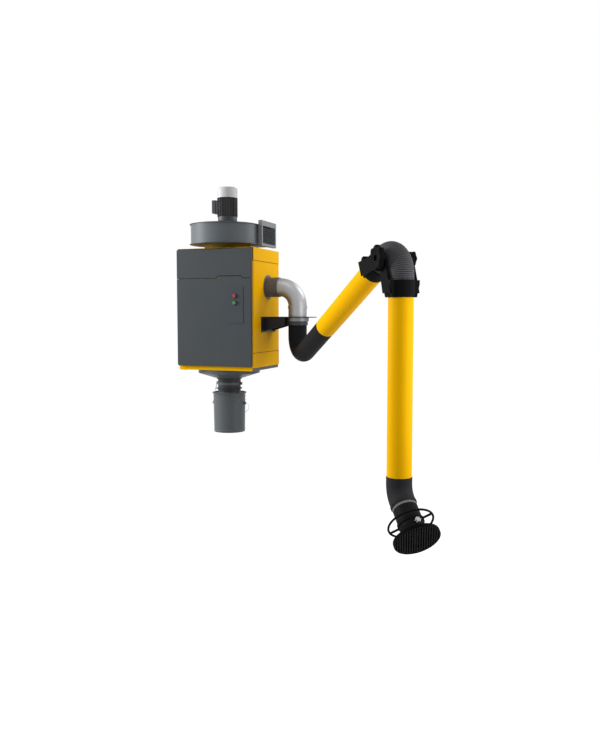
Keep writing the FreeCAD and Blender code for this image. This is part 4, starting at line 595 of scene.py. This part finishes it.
elbow_pivot = np.array([1.770371, -1.587819, 0.304866])
wheels = []
wheel_seat, wheel_bore = 0.1168, 0.0195
wheel_sizes = [
    ("elbow_wheel_front", -1, 0.078, 0.006, 8, 0.034),
    ("elbow_wheel_back", 1, 0.047, 0.004, 6, 0.013),
]
for name, side, rim, lobe, lobes, height in wheel_sizes:
    seat = elbow_pivot + across * side * wheel_seat
    wheels.append(lobed_wheel(name, seat, across * side, wheel_bore, rim, lobe, lobes, height))
    wheels[-1].data.materials.append(black_plastic.material)
    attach(wheels[-1], "inner_arm")
print("elbow wheels:", len(wheels), "with", len(wheels[0].data.polygons), "faces each")

# %% [markdown]
# ## The guard over the hood's mouth
# A grid of flat bars keeps rags and swarf out of the hood. The bars all lie side by side, and each is
# as long as the round rim lets it be, which the circle's own equation gives. A thin hoop holds their ends.

# %% Mouth guard
guard_radius, guard_seat, guard_turn = 0.1475, 0.3595, math.radians(17)
bar_pitch, bar_width, bar_depth, bars_each_side = 0.0158, 0.0072, 0.0024, 9
hoop_half, hoop_depth, hoop_sides = 0.002, bar_depth * 1.2, 120
hood_side = np.cross(hood_across, hood_axis)
bar_way = math.cos(guard_turn) * hood_side + math.sin(guard_turn) * hood_across
bar_step = math.cos(guard_turn) * hood_across - math.sin(guard_turn) * hood_side
guard_centre = hood_pivot + hood_axis * guard_seat
place = np.arange(-bars_each_side, bars_each_side + 1) * bar_pitch
reach = np.sqrt(guard_radius ** 2 - place ** 2)
corner = np.array([[x, y, z] for x in (-1, 1) for y in (-0.5, 0.5) for z in (0, 1)])
sideways = place[:, None] + corner[:, 1] * bar_width
points = (guard_centre + (reach[:, None] * corner[:, 0])[..., None] * bar_way
          + sideways[..., None] * bar_step + (corner[:, 2] * bar_depth)[None, :, None] * hood_axis)
sheets = np.array([[0, 1, 3, 2], [4, 6, 7, 5], [0, 4, 5, 1], [2, 3, 7, 6], [0, 2, 6, 4], [1, 5, 7, 3]])
faces = (np.arange(len(place))[:, None, None] * len(corner) + sheets).reshape(-1, 4)
mesh = bpy.data.meshes.new("guard_bars")
mesh.from_pydata(points.reshape(-1, 3).tolist(), [], faces.tolist())
guard_bars = bpy.data.objects.new("guard_bars", mesh)
bpy.context.scene.collection.objects.link(guard_bars)

angle = np.linspace(0, 2 * math.pi, hoop_sides, endpoint=False)[None, :, None]
outline = np.array([[-1, 0], [1, 0], [1, 1], [-1, 1]]) * [hoop_half, hoop_depth]
radius, lift = guard_radius + outline[:, :1, None], outline[:, 1:, None]
circle = np.cos(angle) * hood_side + np.sin(angle) * hood_across
guard_hoop = closed_grid("guard_hoop", guard_centre + radius * circle + lift * hood_axis)
for piece, finish in ((guard_bars, guard_plastic), (guard_hoop, black_plastic)):
    piece.data.materials.append(finish.material)
    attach(piece, "hood")
print("guard bars:", len(place), "at", bar_pitch, "m")

# %% [markdown]
# ## Coated cloth
# Hose cloth is woven and dipped, so it is dark and a little soft at the edges, with a faint weave. The UV map
# made with each hose counts along and round it, so two waves on it give threads that follow the bends.
# The grooves between the ribs of the elbow hose get painted shade: a slower wave darkens them.

# %% Hose finish


def coated_cloth(name, colour, roughness, grooves=0):
    warp_rate, weft_rate = 3600.0, 1900.0
    patch_share, groove_painted_shade_share = 0.8, 0.25
    finish = Finish(name)
    along, around, _ = finish.parts(finish.node("ShaderNodeUVMap", {}, uv_map="along_and_round"))
    weave = finish.sine(along * warp_rate) * finish.sine(around * weft_rate)
    cloud = finish.noise(scale=14.0, detail=3.0)
    shade = finish.mix(cloud, dimmed(colour, patch_share), colour)
    if grooves:
        # Painted shade in the grooves between the ribs.
        ripple = finish.sine(along * (2 * math.pi * grooves))
        depth = 1 - ripple * ripple
        shade = finish.mix(depth * depth, shade, dimmed(colour, groove_painted_shade_share))
    finish.set(
        Base_Color=shade,
        Roughness=finish.swing(cloud, roughness, spread=0.14),
        Normal=finish.bump(weave, strength=0.15, distance=0.0005),
        Specular_IOR_Level=0.04,
    )
    return finish


smooth_cloth = coated_cloth("hose_cloth", linear(36, 36, 38), 0.6)
ribbed_cloth = coated_cloth("ribbed_cloth", linear(98, 98, 102), 0.55, ribs)
hood_cloth = coated_cloth("hood_cloth", linear(48, 48, 50), 0.6)
for piece, finish in ((base_hose, smooth_cloth), (elbow_hose, ribbed_cloth), (hood_hose, hood_cloth)):
    piece.data.materials.append(finish.material)
print("hoses covered")

# %% [markdown]
# ## The hoses' bends
# When a joint turns, one end of a hose stays with the piece before the joint and the other goes with the
# piece after it. For each hose, two points on a line across its bend are worked out and listed with those two
# pieces. The hose from the CAD is hidden and the new hose's place is fixed into its mesh.

# %% Hose bends


def across_bend(corner, first, second, radius):
    """Two points on the chord of a bend, a quarter of the way in from each end."""
    half = math.acos(float(np.dot(first, second))) / 2
    reach = radius / math.tan(half)
    low, high = corner + first * reach, corner + second * reach
    return low + (high - low) * 0.25, low + (high - low) * 0.75


above_pivot, below_pivot = 0.05, 0.045
base_span = across_bend(base_corner, upward, inner_way, base_bend)
elbow_span = across_bend(elbow_corner, -inner_way, -upward, elbow_bend)
hood_span = hood_pivot + upward * above_pivot, hood_pivot + hood_axis * below_pivot
spans = [
    (base_hose, "base_hose", "swivel", "inner_arm", base_span),
    (elbow_hose, "elbow_hose", "inner_arm", "outer_arm", elbow_span),
    (hood_hose, "hood_hose", "hood_swivel", "hood", hood_span),
]
for piece, node, before, after, (low, high) in spans:
    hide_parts(node)
    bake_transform(piece)
print("hoses joined to the arm:", len(spans))

# %% [markdown]
# ## Floor and sky
# The photograph shows the unit alone on pure white, with bright edges and darker middles on the tubes.
# Flooding it with light would bleach the paint, so the white is not light at all. Each ray knows what sent
# it: one from the camera, or off a shiny face, or through glass, is shown a white sky, while the rays that
# gather light for the paint meet a dimmer one. The floor does the same and still takes the unit's shadow.

# %% Floor and sky


def looked_at(graph):
    """One for a ray that will be seen, straight or in a reflection, and nothing for the rest."""
    path = graph.node("ShaderNodeLightPath", {}).socket.node
    kinds = ("Is Camera Ray", "Is Glossy Ray", "Is Transmission Ray")
    direct, mirrored, through = (Wire(graph, path.outputs[kind]) for kind in kinds)
    return direct.sum("MAXIMUM", direct.sum("MAXIMUM", direct, mirrored), through)


black, white = (0.0, 0.0, 0.0, 1.0), (1.0, 1.0, 1.0, 1.0)
sky_light = 0.32
paper_shade = 0.5
floor_size, floor_height = 60, -2.9
world = bpy.data.worlds.new("white_sky")
bpy.context.scene.world = world
world.use_nodes = True
background = world.node_tree.nodes["Background"]
background.inputs["Color"].default_value = white
sky = Graph(world.node_tree)
sky.join(background.inputs["Strength"], looked_at(sky) * (1 - sky_light) + sky_light)

bpy.ops.mesh.primitive_plane_add(size=floor_size, location=(0, 0, floor_height))
floor = bpy.context.object
floor.name = "floor"
paper = Finish("floor_paper")
glow = looked_at(paper)
paper.set(
    Base_Color=dimmed(white, paper_shade),
    Roughness=paper.swing(paper.noise(scale=2.0), middle=0.9, spread=0.1),
    Specular_IOR_Level=0.0,
    Emission_Color=paper.mix(glow, black, white),
    Emission_Strength=1 - paper_shade * sky_light,
)
floor.data.materials.append(paper.material)
print("floor at", round(floor.location.z, 2), "m, sky at", sky_light, "of white")

# %% [markdown]
# ## Lamps
# A big soft lamp stands far off to the left, in front of the arm, and a smaller one close by on the right,
# about level with the outer tube, so each tube is bright along its edges. A small one behind the cabinet's
# right shoulder brightens its side, the duct and the fan. A weak one above lifts the roof and the elbow.

# %% Light


def lamp(name, place, target, size, power):
    light = bpy.data.lights.new(name, "AREA")
    light.size = size
    light.energy = power
    holder = bpy.data.objects.new(name, light)
    bpy.context.scene.collection.objects.link(holder)
    holder.location = place
    way = np.array(target) - np.array(place)
    level = math.hypot(way[0], way[1])
    holder.rotation_euler = (math.atan2(level, -way[2]), 0, math.atan2(-way[0], way[1]))


lamp("left_lamp", (-5.6, -3.0, 1.4), (1.2, -1.2, -0.2), size=3.0, power=490)
lamp("right_lamp", (3.0, -1.45, -0.3), (1.2, -1.0, -0.4), size=1.8, power=25)
lamp("shoulder_lamp", (1.6, 0.5, 1.1), (0.35, -0.3, 0.4), size=0.8, power=14)
lamp("top_lamp", (0.6, -2.6, 4.0), (0.8, -0.9, 0.0), size=2.0, power=30)

# %% [markdown]
# ## Camera
# The camera's place, lens and lean come from a fit to the corners of the cabinet in the photograph.

# %% Camera
look_down, look_left = 4.47, 20.074
lens = bpy.data.cameras.new("photo_camera")
lens.lens = 37.07
lens.sensor_width = 36.0
camera = bpy.data.objects.new("photo_camera", lens)
bpy.context.scene.collection.objects.link(camera)
camera.location = (2.8908, -6.4307, -0.0387)
camera.rotation_euler = (math.radians(90 - look_down), 0, math.radians(look_left))
bpy.context.scene.camera = camera
bpy.context.scene.view_settings.view_transform = "Standard"
print("camera", [round(part, 2) for part in camera.location])
